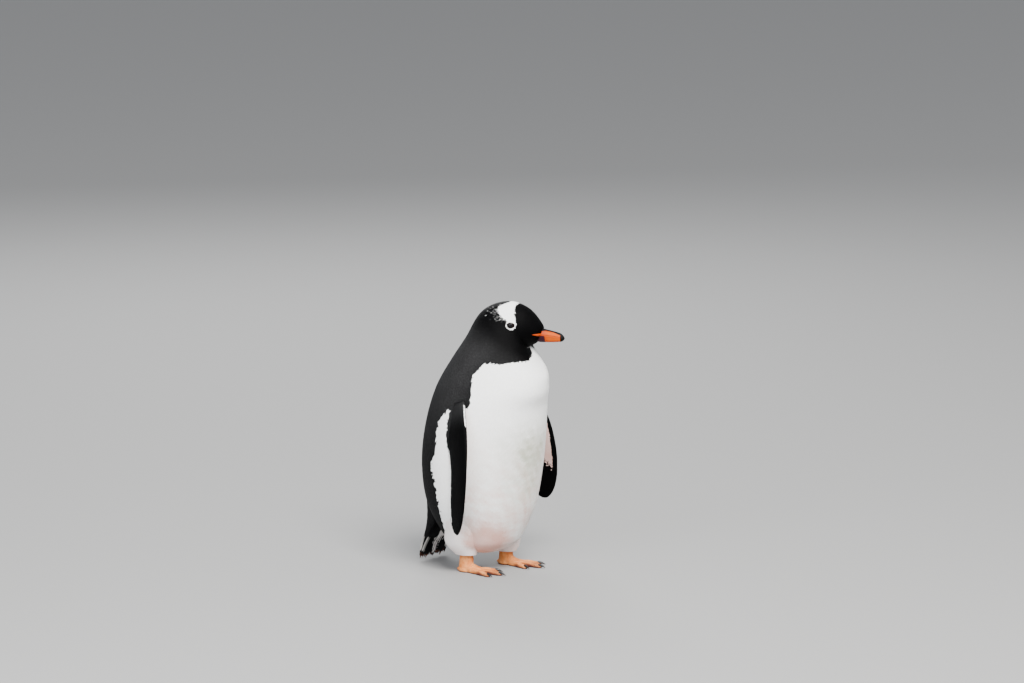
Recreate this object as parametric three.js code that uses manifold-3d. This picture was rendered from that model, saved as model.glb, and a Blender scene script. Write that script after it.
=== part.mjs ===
// Gentoo penguin standing upright, head turned to its left, flippers hanging
// a little away from the sides. Millimetres, +Z up, the bird faces -Y.
//
// Shapes are worked out in the bird's own terms: x to the bird's left,
// f forward, z up. Every piece is a closed body of its own.

import * as THREE from "three";
import Module from "manifold-3d";

// ---------------------------------------------------------------- dimensions

const GAP = 0.3;                 // clearance between neighbouring pieces
const BODY_SEGMENTS = 32;        // facets round the body
const HEAD_YAW = 23;             // degrees, head turned to the bird's left
const HEAD_PIVOT_F = 35;         // the turn's vertical axis, forward of origin

// Body stations from vent to bill base: forward, height, pitch (degrees the
// section leans forward), half width, front depth, back depth.
const BODY_STATIONS = [
  /* vent     */ [-4, 30, 0, 54, 46, 48],
  /* hip      */ [-8, 72, 0, 80, 77, 81],
  /* belly    */ [-12, 130, 0, 105, 104, 106],
  /* waist    */ [-11, 200, 1, 115, 116, 116],
  /* breast   */ [-4, 270, 4, 115, 117, 114],
  /* shoulder */ [9, 335, 9, 106, 111, 105],
  /* collar   */ [21, 387, 17, 87, 115, 83],
  /* neck     */ [34, 424, 22, 67, 102, 71],
  /* nape     */ [51, 457, 38, 49, 70, 67],
  /* crown    */ [69, 475, 62, 38, 50, 49],
  /* brow     */ [88, 471, 86, 33, 37, 38],
  /* lores    */ [106, 463, 105, 24, 26, 21],
  /* bill     */ [117, 458, 112, 14, 13, 11],
];
const NECK_STATION = 6;          // rows are closer together from here up
const TRUNK_ROWS_PER_STATION = 3;
const NECK_ROWS_PER_STATION = 4;
const VENT_CAP = 0.75;           // rounded ends, in station steps
const FACE_CAP = 0.6;
const TWIST_START = 5.2;         // station where the head's turn begins
const TWIST_SPAN = 3.6;

// Planes that part the body: a point (f, z) and the lean of the plane.
const NECK_CUT = { f: 20, z: 390, lean: 17 };
const HEAD_CUT = { f: 40, z: 455, lean: 25 };

// Bill stations along the head: forward, height of the mouth line, half
// width, rise of the upper half, drop of the lower half.
const BILL_STATIONS = [
  [100, 460, 12, 11, 15],
  [113, 459, 10.5, 11.8, 16],
  [127, 458, 8, 10, 14.4],
  [141, 456.5, 6, 8.6, 12],
  [152, 454.8, 4.4, 7.2, 8.8],
  [160, 453, 2.4, 4, 4.6],
];
const BILL_ROWS = 11;
const BILL_SEGMENTS = 14;
const BILL_TIP_CAP = 0.9;

const EYE_RADIUS = 8.5;
const EYE_F = 64;                // along the head, before it is turned
const EYE_Z = 479;
const EYE_SIDE = 32.5;

// Flipper centre lines: shoulder, mid control point and tip as (x, f, z).
const FLIPPER_RIGHT = { side: -1, turn: 20, line: [[-100, 9, 332], [-143, 46, 219], [-114, 20, 86]] };
const FLIPPER_LEFT = { side: 1, turn: 20, line: [[94, 4, 332], [132, 25, 215], [175, -5, 108]] };
const FLIPPER_CHORD = 64;
const FLIPPER_SWELL = 13; // rear edge's bulge at the elbow
const FLIPPER_ROOT_THICK = 13;
const FLIPPER_TIP_THICK = 4.5;
const FLIPPER_ROWS = 15;
const FLIPPER_SEGMENTS = 14;

// Tail stations: f, z, half width, half thickness.
const TAIL_STATIONS = [
  [-60, 150, 58, 44],
  [-92, 104, 52, 26],
  [-114, 66, 42, 13],
  [-131, 34, 39, 6.5],
  [-141, 1.2, 42, 3.2],
];
const TAIL_CAP = 0.35;           // rounded end, in station steps
const TAIL_TIP_SHARE = 0.7;      // share of the width that is left at the very end
const TAIL_ROWS = 13;
const TAIL_SEGMENTS = 16;

// Feet: reference point of each foot (x, f), height of the feathers' lower
// edge, toes as angle out and length.
const FEET = {
  left: { side: 1, x: 50, f: 2, cuff: 28 },
  right: { side: -1, x: -50, f: -12, cuff: 35 },
};
const FOOT_YAW = 10;
const TOES = [
  { name: "inner", angle: -20, length: 64 },
  { name: "middle", angle: 0, length: 80 },
  { name: "outer", angle: 19, length: 70 },
];
const TOE_HALF_WIDTH = 6.6;
const TOE_HEIGHT = 12;
const INSTEP_HIGH = 26;
const INSTEP_LOW = 10;
const INSTEP_REACH = 34;
const TOE_SEGMENTS = 10;
const WEB_THICK = 3;
const WEB_REACH = 58;
const HEEL_BACK = 17;
const SHANK_HALF_WIDTH = 9.5;
const SHANK_HALF_DEPTH = 12.5;
const CLAW_LENGTH = 14;
const CLAW_RADIUS = 3.2;

// ------------------------------------------------------------------ materials

const finish = (color, roughness, metalness = 0) =>
  new THREE.MeshStandardMaterial({ color, roughness, metalness });

const MATERIALS = {
  blackPlumage: finish(0x1d1e21, 0.75),
  headPlumage: finish(0x141415, 0.7),
  whitePlumage: finish(0xe9e8e4, 0.8),
  bill: finish(0xdf7028, 0.4),
  eye: finish(0x1a0f0a, 0.08),
  foot: finish(0xf0a488, 0.6),
  claw: finish(0x2a1c18, 0.4),
};

// -------------------------------------------------------------------- helpers

const rad = THREE.MathUtils.degToRad;
const clamp01 = (v) => Math.min(1, Math.max(0, v));
const smooth = (v) => { const c = clamp01(v); return c * c * (3 - 2 * c); };
const roundEnd = (v) => Math.sqrt(Math.max(0, 1 - (1 - clamp01(v)) ** 2));

/** Value of a table of stations at t, by a Catmull-Rom curve. */
function stationAt(table, t) {
  const last = table.length - 1;
  const s = Math.min(last, Math.max(0, t));
  const i = Math.min(Math.floor(s), last - 1);
  const u = s - i;
  return table[i].map((_, k) => {
    const p1 = table[i][k];
    const p2 = table[i + 1][k];
    const p0 = i > 0 ? table[i - 1][k] : 2 * p1 - p2;
    const p3 = i < last - 1 ? table[i + 2][k] : 2 * p2 - p1;
    return 0.5 * (2 * p1 + (p2 - p0) * u + (2 * p0 - 5 * p1 + 4 * p2 - p3) * u * u
      + (3 * p1 - p0 - 3 * p2 + p3) * u * u * u);
  });
}

/** Turns a point (x, f) about the head's vertical axis by a share of the yaw. */
function turnHead([x, f, z], share) {
  const a = rad(HEAD_YAW) * share;
  const d = f - HEAD_PIVOT_F;
  return [x * Math.cos(a) + d * Math.sin(a), -x * Math.sin(a) + d * Math.cos(a) + HEAD_PIVOT_F, z];
}

const add = (a, b, k = 1) => a.map((v, i) => v + k * b[i]);
const cross = (a, b) => [a[1] * b[2] - a[2] * b[1], a[2] * b[0] - a[0] * b[2], a[0] * b[1] - a[1] * b[0]];
const unit = (a) => { const l = Math.hypot(...a); return a.map((v) => v / l); };

/** Closed mesh from rings of (x, f, z) points, each end closed to its middle. */
function skinRings(rings) {
  const n = rings[0].length;
  const pts = rings.flat();
  const middle = (ring) => ring.reduce((s, p) => add(s, p), [0, 0, 0]).map((v) => v / n);
  pts.push(middle(rings[0]), middle(rings[rings.length - 1]));
  const tris = [];
  for (let r = 0; r + 1 < rings.length; r++) {
    for (let k = 0; k < n; k++) {
      const a = r * n + k, b = r * n + ((k + 1) % n), c = a + n, d = b + n;
      tris.push([a, b, d], [a, d, c]);
    }
  }
  const first = pts.length - 2, final = pts.length - 1, base = (rings.length - 1) * n;
  for (let k = 0; k < n; k++) {
    tris.push([first, (k + 1) % n, k], [final, base + k, base + ((k + 1) % n)]);
  }
  return { pts, tris };
}

/** Signed volume, to tell whether the faces point out. */
function signedVolume(verts, tris) {
  let v = 0;
  for (const [a, b, c] of tris) {
    const [ax, ay, az] = verts[a], [bx, by, bz] = verts[b], [cx, cy, cz] = verts[c];
    v += ax * (by * cz - bz * cy) - ay * (bx * cz - bz * cx) + az * (bx * cy - by * cx);
  }
  return v / 6;
}

const wasm = await Module();
wasm.setup();

/** Solid from a closed mesh in bird terms (x, f, z), placed with f along -Y. */
function solid({ pts, tris }) {
  const verts = pts.map(([x, f, z]) => [x, -f, z]);
  const out = signedVolume(verts, tris) < 0 ? tris.map(([a, b, c]) => [a, c, b]) : tris;
  const body = new wasm.Manifold(new wasm.Mesh({
    numProp: 3,
    vertProperties: new Float32Array(verts.flat()),
    triVerts: new Uint32Array(out.flat()),
  }));
  if (body.isEmpty()) throw new Error("a piece is not a closed body");
  return body;
}

/** Solid from rings that run from one rounded end to the other. */
const loft = (count, ringAt) =>
  solid(skinRings(Array.from({ length: count + 1 }, (_, i) => ringAt(i / count))));

/** Named mesh from a solid. */
function mesh(name, body, material) {
  const { vertProperties, triVerts, numProp } = body.getMesh();
  if (numProp !== 3) throw new Error(`${name} carries more than positions`);
  const geometry = new THREE.BufferGeometry();
  geometry.setAttribute("position", new THREE.BufferAttribute(new Float32Array(vertProperties), 3));
  geometry.setIndex(new THREE.BufferAttribute(new Uint32Array(triVerts), 1));
  geometry.computeVertexNormals();
  const out = new THREE.Mesh(geometry, material);
  out.name = name;
  return out;
}

const ringAngles = (n) => Array.from({ length: n }, (_, k) => (2 * Math.PI * k) / n);
const leanNormal = (lean) => [0, -Math.sin(rad(lean)), Math.cos(rad(lean))];
const planeOffset = ({ f, z, lean }) => f * Math.sin(rad(lean)) + z * Math.cos(rad(lean));

/** The part of a body above a leaning plane, or below it. */
const above = (body, cut) => body.trimByPlane(leanNormal(cut.lean), planeOffset(cut) + GAP / 2);
const below = (body, cut) =>
  body.trimByPlane(leanNormal(cut.lean).map((v) => -v), -planeOffset(cut) + GAP / 2);
const aboveFloor = (body) => body.trimByPlane([0, 0, 1], 0);

// ----------------------------------------------------------------------- body

/** Point on the body: t runs vent to bill, th goes round from the breast. */
function bodyPoint(t, th, swell = 0) {
  const last = BODY_STATIONS.length - 1;
  const [f, z, pitch, half, front, back] = stationAt(BODY_STATIONS, t);
  const cap = roundEnd(t / VENT_CAP) * roundEnd((last - t) / FACE_CAP);
  const p = rad(pitch);
  const across = -(half * cap + swell) * Math.sin(th);
  const deep = Math.cos(th) > 0 ? front : back;
  const v = (deep * cap + swell) * Math.cos(th);
  const point = [across, f + Math.cos(p) * v, z - Math.sin(p) * v];
  return turnHead(point, smooth((t - TWIST_START) / TWIST_SPAN));
}

/** Rows are closer together over the rounded ends. */
function bodySolid(swell = 0) {
  const last = BODY_STATIONS.length - 1;
  const rows = [0.015, 0.07, 0.19, 0.4, 0.66];
  for (let t = 1; t < NECK_STATION; t += 1 / TRUNK_ROWS_PER_STATION) rows.push(t);
  for (let t = NECK_STATION; t < last - 0.72; t += 1 / NECK_ROWS_PER_STATION) rows.push(t);
  rows.push(last - 0.6, last - 0.42, last - 0.25, last - 0.12, last - 0.04);
  const angles = ringAngles(BODY_SEGMENTS);
  const rings = rows.map((t) => angles.map((th) => bodyPoint(t, th, swell)));
  if (swell > 0) rings.unshift(rings[0].map(([x, f, z]) => [x, f, z - swell]));
  return solid(skinRings(rings));
}

// ----------------------------------------------------------------------- bill

/** Whole bill, swollen for its socket in the head. */
function billSolid(swell = 0) {
  const last = BILL_STATIONS.length - 1;
  const angles = ringAngles(BILL_SEGMENTS);
  return loft(BILL_ROWS, (s) => {
    const t = last * (1 - (1 - s) ** 1.5) * 0.998;
    const [f, z, half, up, down] = stationAt(BILL_STATIONS, t);
    const cap = roundEnd((last - t) / BILL_TIP_CAP);
    const back = s === 0 ? swell : 0;
    return angles.map((a) => {
      const tall = Math.cos(a) > 0 ? up : down;
      return turnHead([(half * cap + swell) * Math.sin(a), f - back,
        z + (tall * cap + swell) * Math.cos(a)], 1);
    });
  });
}

/** The mouth line slopes gently; one plane parts the two halves. */
function billHalves() {
  const bill = billSolid();
  const [f0, z0] = BILL_STATIONS[0];
  const [f1, z1] = BILL_STATIONS[BILL_STATIONS.length - 1];
  const a = turnHead([0, f0, z0], 1), b = turnHead([0, f1, z1], 1), c = turnHead([10, f0, z0], 1);
  const n = unit(cross(add(b, a, -1), add(c, a, -1)));
  const up = n[2] > 0 ? n : n.map((v) => -v);
  const normal = [up[0], -up[1], up[2]];
  const offset = up[0] * a[0] + up[1] * a[1] + up[2] * a[2];
  return {
    upper: bill.trimByPlane(normal, offset + GAP / 2),
    lower: bill.trimByPlane(normal.map((v) => -v), -offset + GAP / 2),
  };
}

// ----------------------------------------------------------------------- eyes

/** Ball of the eye as rings from back to front. */
function eyeSolid(side, swell = 0) {
  const [cx, cf, cz] = turnHead([side * EYE_SIDE, EYE_F, EYE_Z], 1);
  const r = EYE_RADIUS + swell;
  const angles = ringAngles(12);
  return loft(8, (s) => {
    const lat = Math.PI * (0.02 + 0.96 * s);
    return angles.map((a) => [cx + r * Math.sin(lat) * Math.cos(a),
      cf + r * Math.sin(lat) * Math.sin(a), cz - r * Math.cos(lat)]);
  });
}

// ------------------------------------------------------------------- flippers

/** Bent blade: a quadratic centre line with a chord leaning out in front. */
function flipperSolid({ side, turn, line }) {
  const [a, b, c] = line;
  const at = (s) => a.map((_, k) => (1 - s) ** 2 * a[k] + 2 * s * (1 - s) * b[k] + s * s * c[k]);
  const along = (s) => unit(a.map((_, k) => (1 - s) * (b[k] - a[k]) + s * (c[k] - b[k])));
  const angles = ringAngles(FLIPPER_SEGMENTS);
  return loft(FLIPPER_ROWS, (row) => {
    const s = 1 - (1 - row) ** 1.35 * 0.998 - 0.002;
    const axis = along(s);
    let chordDir = unit(add([0, 1, 0], axis, -axis[1]));
    let outward = cross(axis, chordDir);
    if (outward[0] * side < 0) outward = outward.map((v) => -v);
    const g = rad(turn);
    const chordTurned = add(chordDir.map((v) => v * Math.cos(g)), outward, Math.sin(g));
    const faceTurned = add(outward.map((v) => v * Math.cos(g)), chordDir, -Math.sin(g));
    const tip = Math.sqrt(Math.max(0, 1 - clamp01((s - 0.72) / 0.28) ** 2.2));
    const swell = FLIPPER_SWELL * Math.exp(-(((s - 0.235) / 0.13) ** 2));
    const chord = FLIPPER_CHORD * (0.82 + 0.18 * smooth(s / 0.3)) * (1 - 0.2 * smooth((s - 0.3) / 0.7)) * tip
      + swell;
    const middle = 3 + 5 * smooth(s / 0.4) - 8 * smooth((s - 0.5) / 0.5) - swell / 2;
    const thick = (FLIPPER_ROOT_THICK - (FLIPPER_ROOT_THICK - FLIPPER_TIP_THICK) * smooth(s / 0.9))
      * Math.max(tip, 0.15);
    return angles.map((th) => {
      const c0 = middle + 0.5 * chord * Math.cos(th);
      const n0 = 0.5 * thick * Math.sign(Math.sin(th)) * Math.abs(Math.sin(th)) ** 0.8
        * (1 + 0.35 * Math.cos(th));
      return add(add(at(s), chordTurned, c0), faceTurned, n0);
    });
  });
}

// ----------------------------------------------------------------------- tail

/** Stiff wedge that leans back and down until its tip meets the floor. */
function tailSolid() {
  const last = TAIL_STATIONS.length - 1;
  const angles = ringAngles(TAIL_SEGMENTS);
  return aboveFloor(loft(TAIL_ROWS, (row) => {
    const t = last * row;
    const [f, z, half, thick] = stationAt(TAIL_STATIONS, t);
    const [f2, z2] = stationAt(TAIL_STATIONS, t + 0.01);
    const [f1, z1] = stationAt(TAIL_STATIONS, t - 0.01);
    const length = Math.hypot(f2 - f1, z2 - z1);
    const across = [(z2 - z1) / length, -(f2 - f1) / length];
    const cap = roundEnd((last - t + 0.02) / TAIL_CAP);
    return angles.map((a) => {
      const h = thick * Math.sin(a);
      return [half * (TAIL_TIP_SHARE + (1 - TAIL_TIP_SHARE) * cap) * Math.cos(a), f + across[0] * h, z + across[1] * h];
    });
  }));
}

// ----------------------------------------------------------------------- legs

/** Feathered thigh that narrows to a cuff round the shank. */
function legSolid({ x, f, cuff }) {
  const table = [
    [0.62 * x, -10, 150, 68, 70],
    [0.74 * x, -8, 112, 61, 60],
    [0.84 * x, -6, 86, 49, 50],
    [0.93 * x, 0.6 * f - 6, 60, 38.5, 42],
    [x, f - 2, cuff + 12, 28.5, 32],
    [x, f + 2, cuff, 19, 23],
  ];
  const angles = ringAngles(20);
  return loft(13, (row) => {
    const [cx, cf, z, half, deep] = stationAt(table, 5 * row);
    return angles.map((a) => [cx + half * Math.cos(a), cf + deep * Math.sin(a), z]);
  });
}

/** Direction on the floor of a toe of a foot. */
function toeDirection({ side }, angle) {
  const a = rad(angle * side + FOOT_YAW);
  return [Math.sin(a), Math.cos(a), 0];
}

/** Curved claw from the toe's end down towards the floor. */
function clawSolid(foot, toe, swell = 0) {
  const dir = toeDirection(foot, toe.angle);
  const side = [dir[1], -dir[0], 0];
  const start = [foot.x + dir[0] * (toe.length - 6), foot.f + dir[1] * (toe.length - 6), 4.6];
  const angles = ringAngles(8);
  return loft(5, (s) => {
    const reach = 6 + (CLAW_LENGTH + 1) * s - (s === 0 ? swell + 6 : 6);
    const centre = add(add(start, dir, reach), [0, 0, 1], 0.9 * Math.sin(Math.PI * s) - 2.7 * s * s);
    const r = CLAW_RADIUS * (1 - 0.78 * s ** 1.4) + swell;
    return angles.map((a) => add(add(centre, side, r * 0.85 * Math.cos(a)), [0, 0, 1], r * Math.sin(a)));
  });
}

/** Foot: shank, heel pad, three toes and the web between them, soled flat. */
function footSolid(foot) {
  const ahead = toeDirection(foot, 0);
  const side = [ahead[1], -ahead[0], 0];
  const origin = [foot.x, foot.f, 0];
  const at = (forward, across, z) => add(add(add(origin, ahead, forward), side, across), [0, 0, z]);
  const angles = ringAngles(TOE_SEGMENTS);

  const shank = loft(4, (s) => ringAngles(14).map((a) =>
    at(4 - 1.5 * s + SHANK_HALF_DEPTH * (1 + 0.25 * s) * Math.sin(a),
      SHANK_HALF_WIDTH * (1 + 0.2 * s) * Math.cos(a), (foot.cuff - 0.4) * (1 - s) - 1.4 * s)));
  const heel = loft(5, (s) => {
    const r = Math.max(0.12, Math.sin(Math.PI * (0.04 + 0.92 * s)));
    return angles.map((a) => at(-HEEL_BACK + 40 * s, 12.5 * r * Math.cos(a), 4.5 + 9.5 * r * Math.sin(a)));
  });
  const toes = TOES.map(({ angle, length }) => {
    const dir = toeDirection(foot, angle);
    const wide = [dir[1], -dir[0], 0];
    return loft(6, (s) => {
      const cap = Math.max(0.3, roundEnd(s / 0.12)) * Math.max(0.45, roundEnd((1 - s) / 0.16));
      const pad = 1 + 0.06 * Math.cos(6 * Math.PI * s);
      const half = TOE_HALF_WIDTH * (1 - 0.22 * s) * cap * pad;
      const tall = TOE_HEIGHT * (1 - 0.38 * s) * cap;
      const centre = add(origin, dir, 2 + (length - 2) * s);
      return angles.map((a) => add(add(centre, wide, half * Math.cos(a)), [0, 0, 1],
        0.42 * tall + 0.58 * tall * Math.sin(a)));
    });
  });

  const instep = loft(6, (s) => {
    const tall = INSTEP_LOW + (INSTEP_HIGH - INSTEP_LOW) * (1 - s) ** 1.5;
    const cap = Math.max(0.4, roundEnd((1 - s) / 0.2));
    return angles.map((a) => at(2 + INSTEP_REACH * s, (10.8 + 2.4 * s) * cap * Math.cos(a),
      0.4 * tall + 0.6 * tall * cap * Math.sin(a)));
  });

  const outline = [[-4, -9 * foot.side], [-4, 9 * foot.side]];
  const first = TOES[0], last = TOES[TOES.length - 1];
  for (let k = 0; k <= 8; k++) {
    const a = last.angle + ((first.angle - last.angle) * k) / 8;
    const dip = Math.min(...TOES.map((toe) => Math.abs(a - toe.angle))) / 10;
    const r = WEB_REACH - 9 * smooth(dip);
    outline.push([r * Math.cos(rad(a)), r * Math.sin(rad(a)) * foot.side]);
  }
  const level = (z) => outline.map(([forward, across]) => at(forward, across, z));
  const web = solid(skinRings([level(0), level(WEB_THICK)]));

  let body = shank.add(heel).add(instep).add(web);
  for (const toe of toes) body = body.add(toe);
  body = aboveFloor(body);
  for (const toe of TOES) body = body.subtract(clawSolid(foot, toe, GAP));
  return body;
}

// ------------------------------------------------------------------- assembly

const body = bodySolid();
const bodySwollen = bodySolid(GAP + 0.1);
const bill = billHalves();

let head = above(body, HEAD_CUT).subtract(billSolid(GAP));
for (const side of [-1, 1]) head = head.subtract(eyeSolid(side, GAP));

const group = new THREE.Group();
group.add(
  mesh("trunk", below(body, NECK_CUT), MATERIALS.whitePlumage),
  mesh("neck", below(above(body, NECK_CUT), HEAD_CUT), MATERIALS.blackPlumage),
  mesh("head", head, MATERIALS.headPlumage),
  mesh("bill_upper", bill.upper, MATERIALS.bill),
  mesh("bill_lower", bill.lower, MATERIALS.bill),
  mesh("eye_left", eyeSolid(1), MATERIALS.eye),
  mesh("eye_right", eyeSolid(-1), MATERIALS.eye),
  mesh("tail", tailSolid().subtract(bodySwollen), MATERIALS.blackPlumage),
  mesh("flipper_left", flipperSolid(FLIPPER_LEFT).subtract(bodySwollen), MATERIALS.blackPlumage),
  mesh("flipper_right", flipperSolid(FLIPPER_RIGHT).subtract(bodySwollen), MATERIALS.blackPlumage),
);

for (const [name, foot] of Object.entries(FEET)) {
  const footBody = footSolid(foot);
  const leg = legSolid(foot).subtract(bodySwollen);
  const clearance = loft(2, (s) => ringAngles(14).map((a) => {
    const ahead = toeDirection(foot, 0);
    const side = [ahead[1], -ahead[0], 0];
    return add(add([foot.x, foot.f, foot.cuff - 4 * s], ahead,
      4 + (SHANK_HALF_DEPTH + 2) * Math.sin(a)), side, (SHANK_HALF_WIDTH + 2) * Math.cos(a));
  }));
  group.add(
    mesh(`leg_${name}`, leg.subtract(clearance), MATERIALS.whitePlumage),
    mesh(`foot_${name}`, footBody, MATERIALS.foot),
  );
  for (const toe of TOES) {
    group.add(mesh(`claw_${name}_${toe.name}`, aboveFloor(clawSolid(foot, toe)), MATERIALS.claw));
  }
}

// Origin at the middle of the bounding box, on the floor.
const box = new THREE.Box3().setFromObject(group);
const centre = box.getCenter(new THREE.Vector3());
group.position.set(-centre.x, -centre.y, -box.min.z);

export default group;
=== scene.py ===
"""Gentoo penguin standing upright, dressed for a museum: skin, plumage, bill, eyes, feet and tail.

Shapes are worked out in the bird's own terms, in millimetres: x to the bird's
left, f forward and z up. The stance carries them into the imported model's frame,
in metres, where the bird faces -Y.
"""
import sys
import logging
import math
from collections.abc import Callable
from dataclasses import dataclass, field
from enum import Enum
from functools import cached_property

import bpy
import numpy as np
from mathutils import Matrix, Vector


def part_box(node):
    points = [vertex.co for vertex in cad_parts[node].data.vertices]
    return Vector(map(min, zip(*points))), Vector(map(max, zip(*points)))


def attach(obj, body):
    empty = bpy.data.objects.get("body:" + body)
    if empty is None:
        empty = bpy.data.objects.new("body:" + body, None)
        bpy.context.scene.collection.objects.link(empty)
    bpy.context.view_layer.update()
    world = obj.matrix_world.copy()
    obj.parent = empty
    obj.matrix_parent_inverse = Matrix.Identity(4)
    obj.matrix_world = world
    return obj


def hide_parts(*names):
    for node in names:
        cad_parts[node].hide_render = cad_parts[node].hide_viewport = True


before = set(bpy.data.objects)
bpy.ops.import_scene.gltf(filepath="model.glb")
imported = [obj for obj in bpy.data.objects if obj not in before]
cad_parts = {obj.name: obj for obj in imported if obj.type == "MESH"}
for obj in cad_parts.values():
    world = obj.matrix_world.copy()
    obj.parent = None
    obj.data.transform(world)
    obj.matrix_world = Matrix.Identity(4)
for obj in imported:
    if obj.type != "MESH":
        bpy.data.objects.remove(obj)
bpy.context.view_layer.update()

Array = np.ndarray
Pair = tuple[float, float]
Curve = tuple[Pair, ...]
Colour = tuple[float, float, float, float]
Material = bpy.types.Material
Random = np.random.Generator
Paint = Callable[[Array, Array, Array, Random], Array]
Clear = Callable[[Array], Array]
LOG = logging.getLogger("penguin")

TAU = 2.0 * math.pi
MM = 0.001
R2_STEPS = (0.7548776662466927, 0.5698402909980532)  # low-discrepancy steps in two dimensions


# ---- numbers

def smooth(value: Array) -> Array:
    """Smoothstep: 3 v squared minus 2 v cubed, with v held between 0 and 1."""
    held = np.clip(value, 0.0, 1.0)
    return held * held * (3.0 - 2.0 * held)


def round_end(value: Array) -> Array:
    """Quarter circle that rises from 0 at 0 to 1 at 1."""
    held = np.clip(value, 0.0, 1.0)
    return np.sqrt(np.maximum(0.0, 1.0 - (1.0 - held) ** 2))


def unit(vectors: Array) -> Array:
    """Vectors divided by their lengths."""
    return vectors / np.maximum(np.linalg.norm(vectors, axis=-1, keepdims=True), 1e-12)


def curve_at(curve: Curve, where: Array) -> Array:
    """Piecewise straight curve through (place, value) pairs, read at each place."""
    table = np.asarray(curve, dtype=float)
    return np.interp(where, table[:, 0], table[:, 1])


def grid_round(rows: Array | int, count: int) -> tuple[Array, Array]:
    """Grid of rows along a piece and points at even angles round it.

    Args:
        rows: places of the rows, or how many are spread evenly from 0 to 1.
        count: points round each row.

    Returns:
        The place and the angle in radians of every point, each (rows, count).
    """
    along = np.linspace(0, 1, rows) if isinstance(rows, int) else rows
    place, angle = np.meshgrid(along, np.arange(count) * TAU / count, indexing="ij")
    return place, angle


def stations_at(table: Array, t: Array) -> Array:
    """Reads a table of stations by a Catmull-Rom curve.

    Args:
        table: one row of values for each station.
        t: station numbers, of any shape, that may lie between stations.

    Returns:
        Values with one more axis than t.
    """
    last = len(table) - 1
    held = np.clip(t, 0.0, last)
    i = np.minimum(held.astype(int), last - 1)
    u = (held - i)[..., None]
    padded = np.vstack([2 * table[0] - table[1], table, 2 * table[-1] - table[-2]])
    p0, p1, p2, p3 = (padded[i + k] for k in range(4))
    return 0.5 * (2 * p1 + (p2 - p0) * u + (2 * p0 - 5 * p1 + 4 * p2 - p3) * u ** 2
                  + (3 * p1 - p0 - 3 * p2 + p3) * u ** 3)


def ripple(points: Array, size: float, seed: int) -> Array:
    """Soft noise, mostly from -1 to 1: a sum of sine waves in seeded directions.

    Args:
        points: places in metres, last axis x, y, z.
        size: length of the longest wave in metres.
        seed: number that fixes the directions.

    Returns:
        One value for each point.
    """
    rng = np.random.default_rng(seed)
    total = np.zeros(points.shape[:-1])
    waves = 7
    for k in range(waves):
        direction = unit(rng.normal(size=3))
        total += np.sin(points @ direction * TAU / size * (1.0 + 0.45 * k) + rng.uniform(0, TAU))
    return total / waves ** 0.5


# ---- stance

class Side(Enum):
    """The bird's own left or right, as the sign of x there."""

    LEFT = 1.0
    RIGHT = -1.0

    @property
    def word(self) -> str:
        """The side as pieces and nodes are named for it."""
        return self.name.lower()


@dataclass
class Stance:
    """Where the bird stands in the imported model's frame, and how its head is turned."""

    head_yaw: float = 23.0  # degrees, towards the bird's left
    pivot_f: float = 35.0  # the turn's upright axis
    eye_side: float = 32.5  # eye centre off the middle of the head
    eye_f: float = 64.0
    eye_z: float = 479.0
    eye_ahead: float = 0.22  # how far an eye looks forward, as a share of how far it looks out
    eye_raise: float = 0.04  # and up
    shift: Array = field(default_factory=lambda: np.zeros(3))

    def __post_init__(self) -> None:
        """Finds the shift between the bird's terms and the frame from the left eye."""
        low, high = (np.array(corner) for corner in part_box("eye_left"))
        eye = self.turn(np.array([self.eye_side, self.eye_f, self.eye_z]), np.array(1.0))
        self.shift = (low + high) / 2.0 - np.array([eye[0], -eye[1], eye[2]]) * MM
        self.shift[2] = 0.0

    def turn(self, points: Array, share: Array) -> Array:
        """Turns points about the head's upright axis by a share of the yaw.

        Args:
            points: bird terms, last axis x, f, z.
            share: 0 for none of the turn, 1 for all of it.

        Returns:
            The turned points.
        """
        angle = np.radians(self.head_yaw) * share
        x, d, z = points[..., 0], points[..., 1] - self.pivot_f, points[..., 2]
        return np.stack([x * np.cos(angle) + d * np.sin(angle),
                         -x * np.sin(angle) + d * np.cos(angle) + self.pivot_f, z + 0.0 * angle], -1)

    def place(self, points: Array) -> Array:
        """Bird terms in millimetres to the frame in metres: f runs along -Y."""
        return points * np.array([MM, -MM, MM]) + self.shift

    def unplace(self, points: Array) -> Array:
        """Frame in metres to bird terms in millimetres."""
        return (points - self.shift) * np.array([1.0, -1.0, 1.0]) / MM

    def eye_axes(self, side: Array) -> tuple[Array, Array, Array, Array]:
        """Centre, outward, level and upright directions of an eye, in the unturned head.

        Args:
            side: 1 for the left eye, -1 for the right, of any shape.

        Returns:
            Four arrays with one more axis than side.
        """
        side = np.asarray(side, dtype=float)
        one = np.ones_like(side)
        centre = np.stack([side * self.eye_side, one * self.eye_f, one * self.eye_z], -1)
        out = unit(np.stack([side, self.eye_ahead * one, self.eye_raise * one], -1))
        up = unit(np.array([0.0, 0.0, 1.0]) - out * out[..., 2:])
        level = unit(np.stack([-out[..., 1] * side, out[..., 0] * side, 0.0 * one], -1))
        return centre, out, level, up

    def head(self, points: Array) -> Array:
        """Points of the unturned head to the frame, with the whole yaw."""
        return self.place(self.turn(points, np.array(1.0)))

    def unhead(self, points: Array) -> Array:
        """Frame to the unturned head, the other way round."""
        return self.turn(self.unplace(points), np.array(-1.0))


STANCE = Stance()


# ---- shapes

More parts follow.
